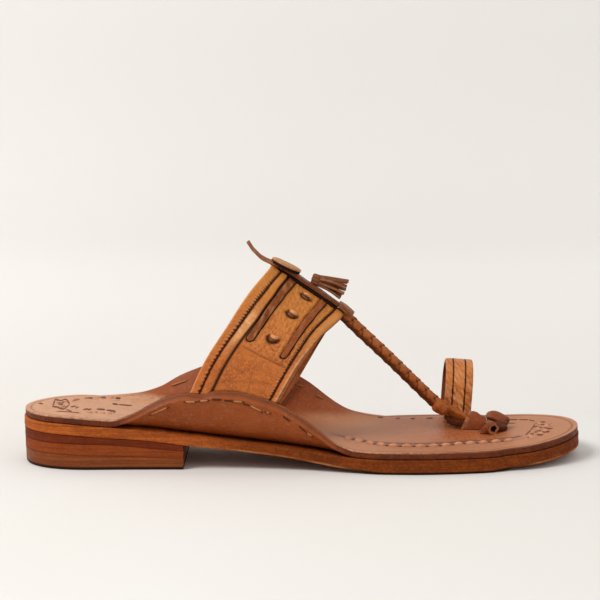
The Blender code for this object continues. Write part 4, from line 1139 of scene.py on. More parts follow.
def insole_body():
    """Insole and both ears: rings from the spine out over the flat, up the ears' inner faces,
    over the skived rim, down the outer faces and back below to the spine."""
    loop = plan_loop(74, 236, 74)
    direction = inward(loop)
    x = loop[:, 0]
    middle = spine(loop)

    def ear(t):
        pairs = [ear_section(x, side, t) for side in SIDES]
        return [side_blend(loop, a, b) for a, b in zip(*pairs)]

    def face(t, outer):
        inset, rise = ear(t)
        ring = loop + direction * inset[:, None]
        base = insole_top(ring[:, 0])
        if not outer:
            return np.column_stack([ring, base + rise])
        out, up = ear_normal((inset, rise), ear(t + 0.01))
        skive = EAR_SKIVE * np.clip(rise / EAR_FULL, 0, 1) * ramp(t, EAR_RIM, 1.0)
        ring = loop + direction * (inset - INSOLE_THICK * out + skive * up)[:, None]
        return np.column_stack([ring, base + rise - INSOLE_THICK * up - skive * out])

    rings, cuts = flat_rings(loop, face(0.0, False)[:, :2], middle)
    rings += [face(t, False) for t in (1 - (1 - np.linspace(0, 1, 46)) ** 1.5)[:-1]]
    top, low = face(1.0, False), face(1.0, True)
    edge = low - top
    first_rim = len(rings)
    rings += round_corner(face(0.965, False), top, top + edge * 0.22, 5)[1:]
    rings += [top + edge * share for share in (0.36, 0.5, 0.64)]
    rings += round_corner(top + edge * 0.8, low, low + (face(EAR_RIM, True) - low) * 0.3, 4)
    last_rim = len(rings)
    rings += [face(t, True) for t in np.linspace(EAR_RIM, 0.0, 34)]
    foot = rings[-1][:, :2]
    for share in (0.5, 0.0):
        ring = middle + (foot - middle) * share
        rings.append(np.column_stack([ring, insole_top(ring[:, 0]) - INSOLE_THICK]))
    rings = np.array(rings)
    tall = read_sides(loop, EARS)
    step = np.linalg.norm(np.diff(rings[:first_rim + 2], axis=0), axis=2)
    from_rim = np.cumsum(step[::-1], axis=0)[::-1][:first_rim]
    rings[:first_rim, :, 2] -= 0.35 * bell(from_rim, 3.4, 0.45) * (1 - ramp(tall, 0.5, 5.0))
    wavy = 0.12 * ripple(21, loop_run(loop) * 0.8) * (0.2 + 0.8 * ramp(tall, 0, 5))
    rings[first_rim:last_rim, :, 2] += wavy
    masks = insole_masks(rings, loop, (first_rim, last_rim), tall, cuts, from_rim)
    return tube(rings, masks, ends=False)


def seam_stitches():
    """Scallops of the tooled seam: domes end to end just outside the dark line, their tops painted
    with dust and highlight, and short dark ticks across between them as painted shade in the dips."""
    parts = []
    pitch, wide = size("seam_pitch"), size("scallop_width")
    for side, (start, stop) in SEAM_STITCHES.items():
        x = np.linspace(start, stop, 400)
        edge = plan_edge(x, side)
        normal = unit(np.column_stack([np.gradient(edge, x), -np.ones_like(x)])) * SIDES[side]
        line = np.column_stack([x, edge, 0 * x])
        line[:, :2] += normal * (smooth(SEAM, side, x) - wide * 0.62)[:, None]
        points, _ = even(line, pitch)
        first, last = points[:-1], points[1:]
        starts, ends = first + (last - first) * 0.12, last + (first - last) * 0.12
        ticks = points[1:-1]
        for places in (starts, ends, ticks):
            places[:, 2] = insole_height(places[:, 0], places[:, 1]) + 0.05
        # Pale tops: dust and painted highlight
        parts.append(bits(starts, ends, UP, wide, 1.25, power=2.0, around=12, along=13,
                          masks={"dust": 0.5, "rub": 0.55}))
        aside = np.cross(unit(points[2:] - points[:-2]), UP) * 1.7
        # Ticks: painted shade in the dips between the scallops
        parts.append(bits(ticks - aside, ticks + aside, UP, 1.8, 0.4, masks={"dark": 0.85}))
    return parts


def flat_bits(x0, y0, x1, y1, width, height, masks, power=3.2):
    """Stitches that lie on the insole between places in plan."""
    starts = np.column_stack([x0, y0, insole_height(x0, y0)])
    ends = np.column_stack([x1, y1, insole_height(x1, y1)])
    return bits(starts, ends, UP, width, height, power=power, masks=masks)


def stroke_bits():
    """Tooled strokes: dark cuts close to the leather and pale lips that stand over it."""
    *ends, wide = DARK_STROKES.values()
    dark = {"dark": np.clip(0.3 + 0.28 * wide, 0, 0.85)}
    return [flat_bits(*ends, wide * 1.4, 0.35, dark),
            flat_bits(*PALE_STROKES.values(), 0.9, {"dust": 0.7, "rub": 0.6}, power=2.0)]


def ear_thongs(side):
    """Thong stitches through one ear on its outer face, each end sunk in a slit painted dark as
    shade, and the turns between them on the inner face."""
    rows = EAR_THONGS[side]
    wide = size("thong_width")
    starts, ends = (ear_face(rows["x" + end], side, rows["rise" + end], lift=0.1) for end in "01")
    out = np.array([0.0, SIDES[side], 0.25])
    pale = rows["pale"] > 0.5
    slit = unit(ends - starts) * 0.9
    x0, x1 = rows["x1"][:-1] + 0.6, rows["x0"][1:] - 0.6
    rise = (rows["rise1"][:-1] + rows["rise0"][1:]) / 2
    seen = x1 - x0 > 1.5
    inner = [ear_face(x[seen], side, rise[seen], outer=False, lift=0.15) for x in (x0, x1)]
    return [bits(starts[pale], ends[pale], out, wide * 0.72, 0.6, power=3.0),
            # Slits: thin bits of painted shade
            bits(starts - slit, ends + slit, out, wide * 0.8, 0.16, power=6.0,
                 masks={"dark": 1.0, "gap": 0.5}),
            bits(*inner, [0.0, -SIDES[side], 0.25], wide * 0.75, 0.55, power=3.5)]


# Instep band and what it carries


def line(name, degrees):
    """Place across the band of one of its lines at each arch angle."""
    return smooth(LINES, name, degrees, key="angle")


def warp(canon, degrees):
    """Place across the band of a column, straight between the lines that columns follow."""
    inner = [line(name, degrees) for name in list(COLUMNS)[1:-1]]
    lines = [0.0 * degrees, *inner, 0.0 * degrees + 1.0]
    at = list(COLUMNS.values())
    out = lines[0] + 0 * canon
    for low, high, first, last in zip(at, at[1:], lines, lines[1:]):
        out = np.where(canon >= low, first + (last - first) * ((canon - low) / (high - low)), out)
    return out


def in_inlay(place, degrees, across):
    """Distance in millimetres outside an inlay's outline, negative inside it; its low end is a
    half circle."""
    rear, front = line(place + "0", degrees), line(place + "1", degrees)
    half = (front - rear) / 2 * BAND_WIDTH
    past = np.maximum(0.0, (degrees - INLAYS[place]) * DEGREE + half)
    return np.hypot(past, (across - (rear + front) / 2) * BAND_WIDTH) - half


def crown(place, low, high, rise):
    """A parabola of one height over a stretch, nothing outside it."""
    return rise * (1 - np.clip((2 * place - low - high) / (high - low), -1, 1) ** 2)


def band_relief(angle, canon):
    """Height of the band's face over its base, and its masks: raised strips with crowned faces,
    stitch channels, grooves, inlay slots, crescents below the nubs, the stamped panel and
    creases. Channels, grooves, slots, crescents and creases carry painted shade; the strip by the
    rear stitches, the puckers and a lip by the skived edge carry painted highlights."""
    angle, canon = np.broadcast_arrays(np.asarray(angle, float), np.asarray(canon, float))
    degrees = abs(angle)
    across = warp(canon, degrees)
    u, v = across * BAND_WIDTH, angle * DEGREE
    at = list(COLUMNS.values())
    height = BAND_STEP * (1 - ramp(canon, at[2] - 0.008, at[2] + 0.004)
                          + ramp(canon, at[3] - 0.004, at[3] + 0.008))
    height += crown(canon, 0.0, at[1], 0.3) + crown(canon, at[1], at[2], 0.45)
    height += crown(canon, at[3], 1.0, 0.35)
    stitched = (1 - ramp(canon, 0.10, 0.13)) + ramp(canon, at[3], at[3] + 0.02)
    height += 0.10 * stitched * ripple(2, u * 1.5, v * 1.9)
    pull = 0.5 + 0.5 * np.sin(v / size("thread_pitch") * 2 * math.pi + 1.2 * ripple(13, v * 0.5))
    uneven = np.clip(0.6 + 0.5 * ripple(12, v * 1.3, u * 0.05), 0, 1)
    half = 0.011 + 0.013 * pull * uneven
    channels = bell(canon, at[1] - 0.01 * pull, half) + bell(canon, at[3] - 0.006 * pull, half)
    puckers = bell(canon, at[1] - 0.03, 0.016) + bell(canon, at[3] - 0.026, 0.014)
    puckers *= uneven
    groove = bell(canon, at[2] + 0.006, 0.014)
    height += 0.28 * (1 - pull) * puckers - 0.55 * channels - size("groove") * groove
    open_part = ramp(degrees, 3.0, 6.0)
    # Painted shade in the groove and stitch channels; slots, crescents and creases add more below
    gap = np.maximum(0.9 * bell(canon, at[2] + 0.006, 0.0185), 0.7 * channels)
    shaded = np.minimum(channels, 1.0)
    for place in INLAYS:
        outside = in_inlay(place, degrees, across)
        slot = 1 - ramp(outside, 0.1, 0.65)
        rear_side = across < line(place + "0", degrees)
        soft = 0.35 if place == "front" else 1.0
        low_end = ramp(degrees, INLAYS[place] - 7.0, INLAYS[place])
        slot = np.where(rear_side, slot * np.maximum(soft, low_end), slot)
        height -= 0.6 * slot * open_part
        gap = np.maximum(gap, slot * np.where(rear_side, soft ** 2, 1.0))
        height += 0.2 * bell(outside, 1.4, 0.8) * (1 - slot)
        shaded = np.maximum(shaded, 0.35 * bell(outside, 0.7, 0.7))
    for nub_across, nub_angle in zip(*NUBS.values()):
        nub_u = (across - nub_across) * BAND_WIDTH
        nub_v = (degrees - nub_angle) * DEGREE
        reach = np.hypot(nub_u, nub_v)
        # Crescent of painted shadow below each nub
        crescent = bell(reach, 2.7, 0.85) * ramp(nub_v / np.maximum(reach, 0.1), -0.45, 0.3)
        height += 0.45 * bell(reach, 0.0, 4.2) - 0.9 * crescent
        gap = np.maximum(gap, 0.95 * crescent)
        shaded = np.maximum(shaded, 0.5 * bell(reach, 3.0, 1.1) * ramp(nub_v, -0.5, 1.0))
    panel = ramp(across, 0.30, 0.34) * (1 - ramp(across, 0.845, 0.86))
    panel *= 1 - ramp(degrees + (0.8 - across) * 8.0, 67.0, 69.5)
    height += 0.17 * panel * ripple(3, u * 3.0 + v * 1.0, v * 2.0 - u * 0.7)
    height += 0.05 * ripple(4, u * 0.35, v * 0.3) + 0.025 * ripple(6, u * 2.0, v * 2.2)
    for angle0, across0, angle1, across1, depth, half in zip(*CREASES.values()):
        start = np.array([across0 * BAND_WIDTH, angle0 * DEGREE])
        way = np.array([across1 * BAND_WIDTH, angle1 * DEGREE]) - start
        du, dv = u - start[0], degrees * DEGREE - start[1]
        along = np.clip((du * way[0] + dv * way[1]) / way.dot(way), 0, 1)
        off = np.hypot(du - way[0] * along, dv - way[1] * along)
        height -= depth * bell(off, 0.0, half)
        gap = np.maximum(gap, depth * 2.2 * bell(off, 0.0, half * 0.7))
    edge = 1 - ramp(np.minimum(canon, 1 - canon), 0.0, 0.014)
    height -= 0.45 * edge
    gap = np.clip(gap, 0, 1)
    # Painted highlight on the strip between the rear stitches and the groove
    painted_highlight = bell(canon, 0.178, 0.05) * bell(degrees, 55.0, 9.0)
    # Wear along the rear edge and by the seam, and painted highlights on the puckers
    worn = (0.85 * edge * (canon < 0.5) + 0.3 * bell(canon, 0.945, 0.03)
            + 0.45 * (1 - pull) * puckers)
    # Painted light on the tooled panel, strongest near 54 degrees
    lit = panel * (0.45 + 0.55 * bell(degrees, 54.0, 16.0))
    shaded = np.maximum(shaded, 0.25 * pull * puckers)
    border = 0.948 + 0.05 * (1 - ramp(degrees, 30.0, 72.0))
    seen = angle < 0
    skived = ramp(canon, border, border + 0.006) * seen
    # Painted highlight on a lip by the skived edge, on the lateral side only
    lip = bell(canon, border - 0.008, 0.008) * ramp(degrees, 40.0, 60.0) * seen
    shaded = np.maximum(shaded, 0.9 * bell(canon, border + 0.006, 0.006) * seen)
    return height, {"gap": gap, "tool": lit * (1 - gap), "dark": np.clip(shaded, 0, 1),
                    "rub": np.clip(1.6 * painted_highlight + worn + 0.6 * lip, 0, 1), "cut": 0.85 * skived,
                    "dust": 0.75 * (1 - ramp(degrees, 22.0, 78.0))}


def band_body():
    """The band: one wall with its outer face in relief, a plain inner face and cut edges."""
    angles = np.concatenate([np.linspace(-120, -92, 10), np.linspace(-91, 91, 521),
                             np.linspace(92, 120, 10)])
    extra = [line_at + np.linspace(-0.028, 0.024, 14) for line_at in
             (COLUMNS["thread"] - 0.008, COLUMNS["groove"] + 0.006, COLUMNS["seam"] - 0.006)]
    canon = np.unique(np.concatenate([np.linspace(0, 1, 112), *extra, [0.004, 0.009, 0.991, 0.996]]))
    across = warp(canon[None, :], abs(angles)[:, None])
    base = band_points(angles[:, None], across)
    normal = away(base)
    height, masks = band_relief(angles[:, None], canon[None, :])
    hidden = (1 - ramp(abs(angles), 90.0, 95.0))[:, None]
    outer = base + normal * (height * hidden)[..., None]
    inner = base - normal * BAND_WALL
    number = np.round(np.linspace(1, 0, 14) * (len(canon) - 1)).astype(int)
    shares = np.array([0.12, 0.37, 0.63, 0.88])[None, :, None]
    edges = [outer[:, [k]] + (inner[:, [k]] - outer[:, [k]]) * shares for k in (-1, 0)]
    rings = np.concatenate([outer, edges[0], inner[:, number], edges[1][:, ::-1]], axis=1)
    full = {key: np.zeros(rings.shape[:2]) for key in masks}
    for key, value in masks.items():
        full[key][:, :len(canon)] = value
    full["cut"][:, len(canon):] = 1 - 0.55 * ramp(angles, 55.0, 75.0)[:, None]
    full["cut"][:, -4:] = 0.3
    full["rub"][:, -4:] = 0.9
    return tube(rings, full)


def band_thread():
    """Twisted thread in both stitch channels: short slanted turns end to end."""
    parts = []
    pitch = size("thread_pitch")
    for name in ("thread", "seam"):
        for sign in (-1.0, 1.0):
            angle = np.linspace(3.0, 89.5, 500) * sign
            route, normal, _, ahead = band_spot(angle, line(name, abs(angle)), 0.05 + 0 * angle)
            points, _ = even(route, pitch)
            index = np.linspace(0, len(angle) - 1, len(points)).round().astype(int)
            lean = ahead[index] * size("thread_width") * 0.30
            step = np.diff(points, axis=0) * 0.02
            parts.append(bits(points[:-1] - lean[:-1] - step, points[1:] + lean[1:] + step,
                              normal[index][:-1], size("thread_width"), 0.42, power=2.2))
    return parts


def inlay_body(place, sign):
    """A raised inlay strip in its slot: crowned across, with a half-round low end."""
    degrees = INLAY_HIGH + (INLAYS[place] - INLAY_HIGH) * np.linspace(0, 1, 90) ** 0.9
    rear, front = line(place + "0", degrees), line(place + "1", degrees)
    half = (front - rear) / 2 * BAND_WIDTH
    to_end = (INLAYS[place] - degrees) * DEGREE
    shrink = np.sqrt(np.clip(1 - np.clip(1 - to_end / half, 0, 1) ** 2, 0.0004, 1))
    section = oval(22, 3.0)
    across = ((rear + front) / 2)[:, None] + ((front - rear) / 2 * shrink)[:, None] * section[:, 0]
    rise = 0.37 + size("inlay_rise") * 0.5 * section[:, 1][None, :] * (0.5 + 0.5 * shrink[:, None])
    wave = 0.14 * ripple(31, across * 60.0, degrees[:, None] * 0.9)
    points = band_spot(degrees[:, None] * sign + 0 * across, across,
                       rise + wave * (section[:, 1] > 0))[0]
    # Painted shade along the sides, on the front inlay only along its front side and near its low end
    edge = ramp(abs(section[:, 0]), 0.86, 1.0)
    if place == "front":
        edge = edge * np.maximum(section[:, 0] > 0, ramp(degrees, 55.0, 62.0)[:, None])
    patches = np.clip(1.1 * ripple(33, across * 170.0, degrees[:, None] * 0.45), 0, 1)
    return tube(points, {"gap": edge * 0.6, "rub": patches * (0.5 if place == "rear" else 0.2)})


def nub_body(across, angle, sign):
    """A nub: the loop of a thong that stands between two slits, an arch with sunk ends and a
    flat crown, its top painted with highlight and its underside with shade, and a dark strip of
    painted shadow beyond each end."""
    spot, normal, down, ahead = band_spot(np.array(angle * sign), np.array(across),
                                          np.array(0.0))
    part = np.linspace(-1, 1, 26)
    arch = np.sqrt(np.clip(1 - part ** 2, 0, 1))
    path = (spot + ahead * (part * 1.75)[:, None] + normal * (1.6 * arch - 0.35)[:, None]
            + down * (0.35 - 0.9 * part ** 2)[:, None])
    tilted = unit(down * 0.9 - normal * 0.25)
    rings = strap_rings(path, tilted, 1.3 + 1.2 * arch, 1.0 + 0.25 * arch, count=20, power=3.0)
    section = oval(20, 3.0)
    # Painted shade on the underside, painted highlight on the top
    under = ramp(section[:, 0], 0.1, 0.8)
    body = tube(rings, {"gap": under * 0.75, "rub": (1 - under) * 0.95})
    # Strips of painted shadow beyond both ends
    horns = []
    for way, drop in ((-1.0, -0.8), (1.0, 1.6)):
        start = spot + ahead * way * 1.7 + down * 0.5 + normal * 0.25
        end = spot + ahead * way * 3.1 + down * drop + normal * 0.3
        horns.append(bits(start, end, normal, 1.2, 0.35, masks={"dark": 0.9, "gap": 0.3}))
    return [body, *horns]


def crown_strap_body():
    """The flat strap over the crown with its curled tail: rounded rectangular sections, and a dark
    strip under it that stands for its shadow on the band.
    """
    path, width, thick = table_path(STRAP, 130)
    kept = path[:, 0] < 23.6
    path, width, thick = path[kept], width[kept], thick[kept]
    run = np.linspace(0, 1, 130)[kept]
    flat = ramp(run, 0.32, 0.42) * (1 - ramp(run, 0.93, 1.0))
    tail = 1 - ramp(run, 0.3, 0.45)
    over = path + np.array([0.35, 0.0, 0.6]) * flat[:, None] + [0.35, 0.0, 0.6] * tail[:, None]
    rings = strap_rings(over, [0.0, 1.0, 0.0], width, thick - 0.6 * flat + 0.7 * tail, 32, 5.0)
    rings[..., 2] += 0.14 * ripple(41, run[:, None] * 30.0, rings[..., 1] * 0.8)
    edge = strap_edge(32, 5.0)
    top = oval(32, 5.0)[:, 1] > 0.5
    # A dark strip of painted shadow under the strap
    low = slice(44, 104)
    shadow = strap_rings(path[low] + [-0.6, 0.0, -1.35], [0.0, 1.0, 0.0], width[low] * 0.9, 2.4, 16)
    # Paler all over, more on its top and the tail's edges: wear and painted highlight
    rub = np.maximum(0.2 + top * 0.4, edge * tail[:, None] * 0.7)
    return [tube(rings, {"cut": edge * 0.6 * (1 - tail)[:, None], "rub": rub}),
            tube(shadow, {"gap": 1.0})]


def disc_bodies():
    """Disc button: a pale domed top, its lowest rings painted with shade, over a plaited dark rim
    darkened further by painted shade.
    """
    axis, ahead = leaning(DISC["tilt"])
    turn = whole_turn(96)
    way = np.cos(turn), np.sin(turn)
    circle = turned(ahead, ACROSS, turn)
    centre = np.array([DISC["x"], CROWN_Y, DISC["z"]])
    wide, rise = np.array([(0.80, -0.10), (0.93, -0.08), (0.985, 0.0), (1.0, 0.1), (1.0, 0.22),
                           (0.985, 0.33), (0.95, 0.42), (0.88, 0.47), (0.7, 0.52), (0.5, 0.55),
                           (0.3, 0.56), (0.1, 0.565)]).T[..., None]
    radius = wide * DISC["radius"] * (1 + 0.012 * ripple(9, way[0] * 3, way[1] * 3 + rise))
    lift = rise * DISC["thick"] + 0.06 * ripple(8, way[0] * wide * 6, way[1] * wide * 6)
    rings = centre + axis * lift[..., None] + circle * radius[..., None]
    # Painted shade on the dome's lowest rings
    top = tube(rings, {"rub": 0.1, "dark": 1 - np.clip(rise * 8, 0, 1)})
    at = whole_turn(22)
    out = turned(ahead, ACROSS, at)
    along = turned(ahead, ACROSS, at + math.pi / 2)
    middle = centre + out * (DISC["radius"] * 0.9) - axis * 0.55
    lean = unit(along + axis * 0.55)
    # The plait under the dome's edge carries painted shade
    plait = bits(middle - lean * 1.35, middle + lean * 1.35, out, 1.5, 0.75, power=2.2, around=10,
                 masks={"dark": 0.6})
    return [top], [plait]


def collar_body():
    """Dark wrap over the strap where the braid starts: a saddle of two bands, open below."""
    xs = np.linspace(COLLAR["x0"], COLLAR["x1"], 26)
    share = (xs - xs[0]) / (xs[-1] - xs[0])
    swell = 0.15 + 0.22 * np.sin(share * math.pi)
    rise = smooth(STRAP, "thick", xs) / 2 + GAP + 0.1
    middle = np.column_stack([xs, 0 * xs + CROWN_Y, smooth(STRAP, "z", xs)])[:, None]
    turn = np.radians(np.linspace(-90, 90, 41))
    arcs = []
    for grow in (COLLAR["wall"] + swell - 0.15, 0.0 * xs):
        y = (COLLAR["half"] + grow)[:, None] * np.sin(turn)
        lift = (rise + grow)[:, None] * np.cos(turn) ** 0.5
        arcs.append(middle + y[..., None] * ACROSS + lift[..., None] * [0.55, 0.0, 0.835])
    rings = np.concatenate([arcs[0], arcs[1][:, ::-1]], axis=1)
    fold = ripple(46, rings[..., 0] * 1.1 + rings[..., 2] * 0.9, rings[..., 1] * 0.5)
    rings[:, :41, 2] += 0.22 * fold[:, :41]
    # Pale ends; on the folds, painted shade in the hollows and painted highlight on the crests
    end = 0.7 * np.maximum(bell(share, 0.0, 0.04), bell(share, 1.0, 0.05))[:, None]
    return tube(rings, {"gap": np.clip(-0.6 * fold - 0.25, 0, 1),
                        "rub": np.maximum(end, np.clip(0.6 * fold, 0, 1))})


def tassel_bodies():
    """A wrapped head of three turns with flat strips fanned toward the toe."""
    head = TASSEL_HEAD
    axis, ahead = leaning(head["tilt"])
    edge = strap_edge(20, 5.0)
    circle = turned(ahead, ACROSS, whole_turn(40))
    centre = np.array([head["x"], head["y"], head["z"]])
    share = np.linspace(-1, 1, 34)
    wide = (0.8 + 0.34 * np.sqrt(np.clip(1 - (share * 0.86) ** 2, 0, 1))
            + 0.12 * abs(np.sin((share + 1) * 1.5 * math.pi)))
    rings = (centre + axis * (share * head["height"] / 2)[:, None, None]
             + circle[None] * (wide * head["radius"] * 0.92)[:, None, None])
    # Painted shade in the valleys between the head's turns
    valley = (1 - abs(np.sin((share + 1) * 1.5 * math.pi))) ** 4
    parts = [tube(rings, {"gap": valley[:, None] * 0.7, "rub": 0.25})]
    part = np.linspace(0, 1, 26)
    for number, (rise, down, out, reach) in enumerate(zip(*TASSEL_STRIPS.values())):
        down = np.radians(down * (0.6 + 0.6 * part) + 3.0 * np.sin(part * 5.0 + number * 1.7))
        down = down[:, None]
        ahead = np.array([math.cos(math.radians(out)), math.sin(math.radians(out)), 0.0])
        heading = np.cos(down) * ahead - np.sin(down) * UP
        path = centre + axis * rise + np.vstack([np.zeros(3), np.cumsum(
            heading[1:] * reach / (len(part) - 1), axis=0)])
        twist = np.radians(14.0 * np.sin(part * 3.0 + number * 2.1))[:, None]
        side_way = np.cross(UP, ahead) * np.cos(twist) + UP * np.sin(twist)
        rings = strap_rings(path, side_way, 2.9, 1.6, count=20, power=5.0)
        parts.append(tube(rings, {"cut": edge * 0.5, "rub": edge * 0.6}))
    return parts


def braid_bodies():
    """Round plait of four flat strands over a thin core.

    Two strands wind left and two right, each as a helix whose radius rises and falls with twice
    the angle about the middle, so that they pass over and under each other every half turn.
    """
    path, run = even(table_path(BRAID, 200)[0], 0.35)
    _, aside, up = path_frame(path)
    wind = run / size("braid_turn") * 2 * math.pi
    middle, weave, roll = 2.15, 0.45, 0.45
    parts = []
    for hand, offset in ((-1.0, 0.5), (-1.0, 1.5), (1.0, 0.0), (1.0, 1.0)):
        angle = hand * wind + offset * math.pi
        radius = middle - weave * hand * np.sin(2 * angle)
        seen = angle - roll
        out = aside * np.cos(seen)[:, None] + up * np.sin(seen)[:, None]
        strand = path + out * radius[:, None]
        way = unit(np.gradient(strand, axis=0))
        side = unit(np.cross(way, out))
        rings = strap_rings(strand, side, size("strand_width"), size("strand_thick"), 16, 3.2)
        edge = ramp(abs(oval(16, 3.2)[:, 0]), 0.8, 1.0)
        # Painted shade where a strand passes under, on its edges and its lower side; painted highlight
        # above
        under = ramp(hand * np.sin(2 * angle), 0.3, 0.95)[:, None]
        lower = ramp(-(rings - path[:, None]) @ np.array([0.6, 0.0, 0.78]), 0.0, 1.3)
        shaded = np.clip(0.8 * edge + 0.5 * under + 0.9 * lower, 0, 1)
        parts.append(tube(rings, {"gap": 0.15 * under + 0.1 * edge, "dark": shaded,
                                  "rub": (1 - edge) * (1 - lower) * 0.15}))
    # Core painted dark: shade seen between the strands
    core = path[:, None] + 2.0 * turned(aside, up, whole_turn(12))
    parts.append(tube(core, {"dark": 0.7}))
    return parts


def strand_body(rows, steps, seed, rise=0.0, dark=0.0):
    """A plain strand along its table's route, its far edge lifted by rise."""
    path, width, thick = table_path(rows, steps)
    rings = strap_rings(path, [0.0, 1.0, rise], width, thick, count=24, power=4.0)
    rings[..., 2] += 0.3 * ripple(seed, rings[..., 0] * 1.3, rings[..., 1] * 1.7)
    return tube(rings, {"cut": strap_edge(24, 4.0) * 0.4, "dark": dark})


def toe_ring_path(steps):
    """Route of the toe ring: a short leg, an arch over the toe and the other leg."""
    foot = float(insole_top(LOOP["x_foot"])) + GAP + 0.3
    centre = (LOOP["near"] + LOOP["far"]) / 2
    half = (LOOP["far"] - LOOP["near"]) / 2
    spring = LOOP["top"] - half * 1.12
    legs = np.linspace(0, 1, steps // 5)[:-1]
    arch = np.linspace(0, math.pi, steps)
    near_y = LOOP["near"] + LOOP_BULGE * (1 - np.sin(legs * math.pi / 2))
    y = np.concatenate([near_y, centre - half * np.cos(arch),
                        (LOOP["far"] + LOOP["near"] - near_y)[::-1]])
    leg_z = foot + (spring - foot) * legs
    z = np.concatenate([leg_z, spring + (LOOP["top"] - spring) * np.sin(arch), leg_z[::-1]])
    x = LOOP["x_foot"] + (LOOP["x_top"] - LOOP["x_foot"]) * (z - foot) / (LOOP["top"] - foot)
    return even(np.column_stack([x, y, z]), 0.42), [LOOP["x_foot"], centre, foot]


def toe_ring_frame(path, centre):
    """Directions across the toe ring's breadth and out of it."""
    lean = math.radians(LOOP_LEAN)
    wide = np.array([math.cos(lean), 0.0, -math.sin(lean)])
    out = unit(np.cross(wide, unit(np.gradient(path, axis=0))))
    return wide, out * np.sign(np.sum(out * (path - centre), axis=1))[:, None]


def toe_ring_body():
    """The toe ring: a wall with two stitched grooves round it and slanted crinkles."""
    (path, run), centre = toe_ring_path(160)
    wide, out = toe_ring_frame(path, centre)
    foot = centre[2]
    across = np.linspace(-1, 1, 62)
    grooves = sum(bell(across, place, 0.05) for place in RING_GROOVES)
    q = across[None, :] * LOOP["width"] / 2
    crinkle = ripple(51, q * 0.9 + run[:, None] * 0.7, run[:, None] * 0.35)
    fine = ripple(52, q * 2.4 + run[:, None] * 1.9, run[:, None] * 0.8)
    low = 1 - ramp(path[:, 2], foot + 6.0, LOOP["top"])[:, None]
    face = (0.02 - 0.4 * grooves + 0.24 * (1 - abs(across) ** 6)[None, :] - 0.2
            + 0.24 * crinkle * (0.25 + low) + 0.12 * fine * (0.5 + low))
    face = face - 0.7 * ramp(abs(across), 0.93, 1.0)[None, :] ** 2
    outer = path[:, None] + wide * q[..., None] + out[:, None] * face[..., None]
    inner = (path[:, None] + wide * (np.linspace(1, -1, 10) * LOOP["width"] / 2)[:, None]
             - out[:, None] * LOOP_WALL)
    rings = np.concatenate([outer, outer[:, -1:] * 0.6 + inner[:, :1] * 0.4, inner,
                            inner[:, -1:] * 0.4 + outer[:, :1] * 0.6], axis=1)
    # Painted highlight on the crinkles' crests, none in the grooves, which carry painted shade
    rub = np.clip(0.25 + 0.6 * fine * (0.3 + low), 0, 1) * (1 - grooves)
    return tube(rings, {"gap": np.pad(np.clip(grooves, 0, 1), (0, 12)),
                        "cut": np.concatenate([np.zeros(62), [0.6], np.full(10, 0.7), [0.6]]),
                        "rub": np.pad(rub, ((0, 0), (0, 12)))})


def toe_ring_thread():
    """Thread stitches in the toe ring's two grooves."""
    (path, _), centre = toe_ring_path(160)
    points, _ = even(path, 1.9)
    wide, out = toe_ring_frame(points, centre)
    parts = []
    for across in RING_GROOVES:
        line = points + wide * across * LOOP["width"] / 2 - out * 0.32
        parts.append(bits(line[:-1] - wide * 0.3, line[1:] + wide * 0.3, out[:-1], 0.8, 0.4,
                          power=2.2))
    return parts


def keeper_body():
    """Folded leather over the plain end: arches whose rear edge is cut on a slant."""
    at = np.linspace(0, 3, 34)
    path, half, height, lean = table_path(KEEPER, len(at))
    x, y = path[:, 0], path[:, 1]
    turn = np.radians(np.linspace(-90, 90, 37))
    foot = insole_top(x) + GAP + 0.05
    arcs = []
    for cut in (0.0, KEEPER_WALL):
        rise = (height - cut)[:, None] * np.cos(turn) ** 0.7
        wave = 0.2 * ripple(61, x[:, None] * 0.8, turn[None, :] * 2.0) * (cut == 0)
        arcs.append(np.stack([x[:, None] + lean[:, None] * (rise / height[:, None] - 0.4),
                              y[:, None] + (half - cut)[:, None] * np.sin(turn),
                              foot[:, None] + rise + wave * np.cos(turn)], axis=-1))
    rings = np.concatenate([arcs[0], arcs[1][:, ::-1]], axis=1)
    rear = (1 - ramp(at, 0.0, 0.7))[:, None] * np.clip(0.6 + 0.7 * ripple(
        63, rings[..., 0] * 1.6, rings[..., 2] * 1.6), 0, 1)
    return tube(rings, {"rub": rear})


def lobe_body(rows, seed, steps=40, hollow=None, wrinkle=0.2, light=0.0, shade=0.0):
    """A rolled lobe: oval sections along a route with lengthwise wrinkles. A hollow lobe's last
    end turns in as a cup of that depth."""
    at = np.linspace(0, len(rows["x"]) - 1, steps)[:, None]
    path, wide, tall = table_path(rows, steps)
    ahead, aside, up = path_frame(path)
    turn = whole_turn(32)
    crease = 1 + wrinkle * ripple(seed, np.cos(turn) * 2.8, np.sin(turn) * 2.8 + at * 0.8)
    section = turned(aside * wide[:, None], up * tall[:, None], turn)
    rings = path[:, None] + section * crease[..., None]
    # Painted shade in the wrinkles' hollows, and all over by shade
    mask = np.clip((1 - crease) / wrinkle - 0.4, 0, 1) * 0.7 + shade
    pale = np.clip(ripple(seed + 1, turn, at * 1.5), 0, 1) * 0.15
    pale = np.maximum(pale, light * (1 - ramp(at / at[-1], 0.15, 0.4)))
    if hollow:
        inside, deep, dark, rim = np.array(KNOT_CUP).T[..., None]
        cup = (path[-1] + (rings[-1] - path[-1]) * inside[..., None]
               - ahead[-1] * hollow * deep[..., None])
        rings = np.concatenate([rings, cup])
        mask = np.concatenate([mask, dark + 0 * rings[-4:, :, 0]])
        pale = np.concatenate([pale, rim + 0 * rings[-4:, :, 0]])
    return tube(rings, {"gap": mask, "rub": pale})


class PieceOperator:
    """What the sandal's operators share."""

    bl_options = {"REGISTER", "UNDO"}


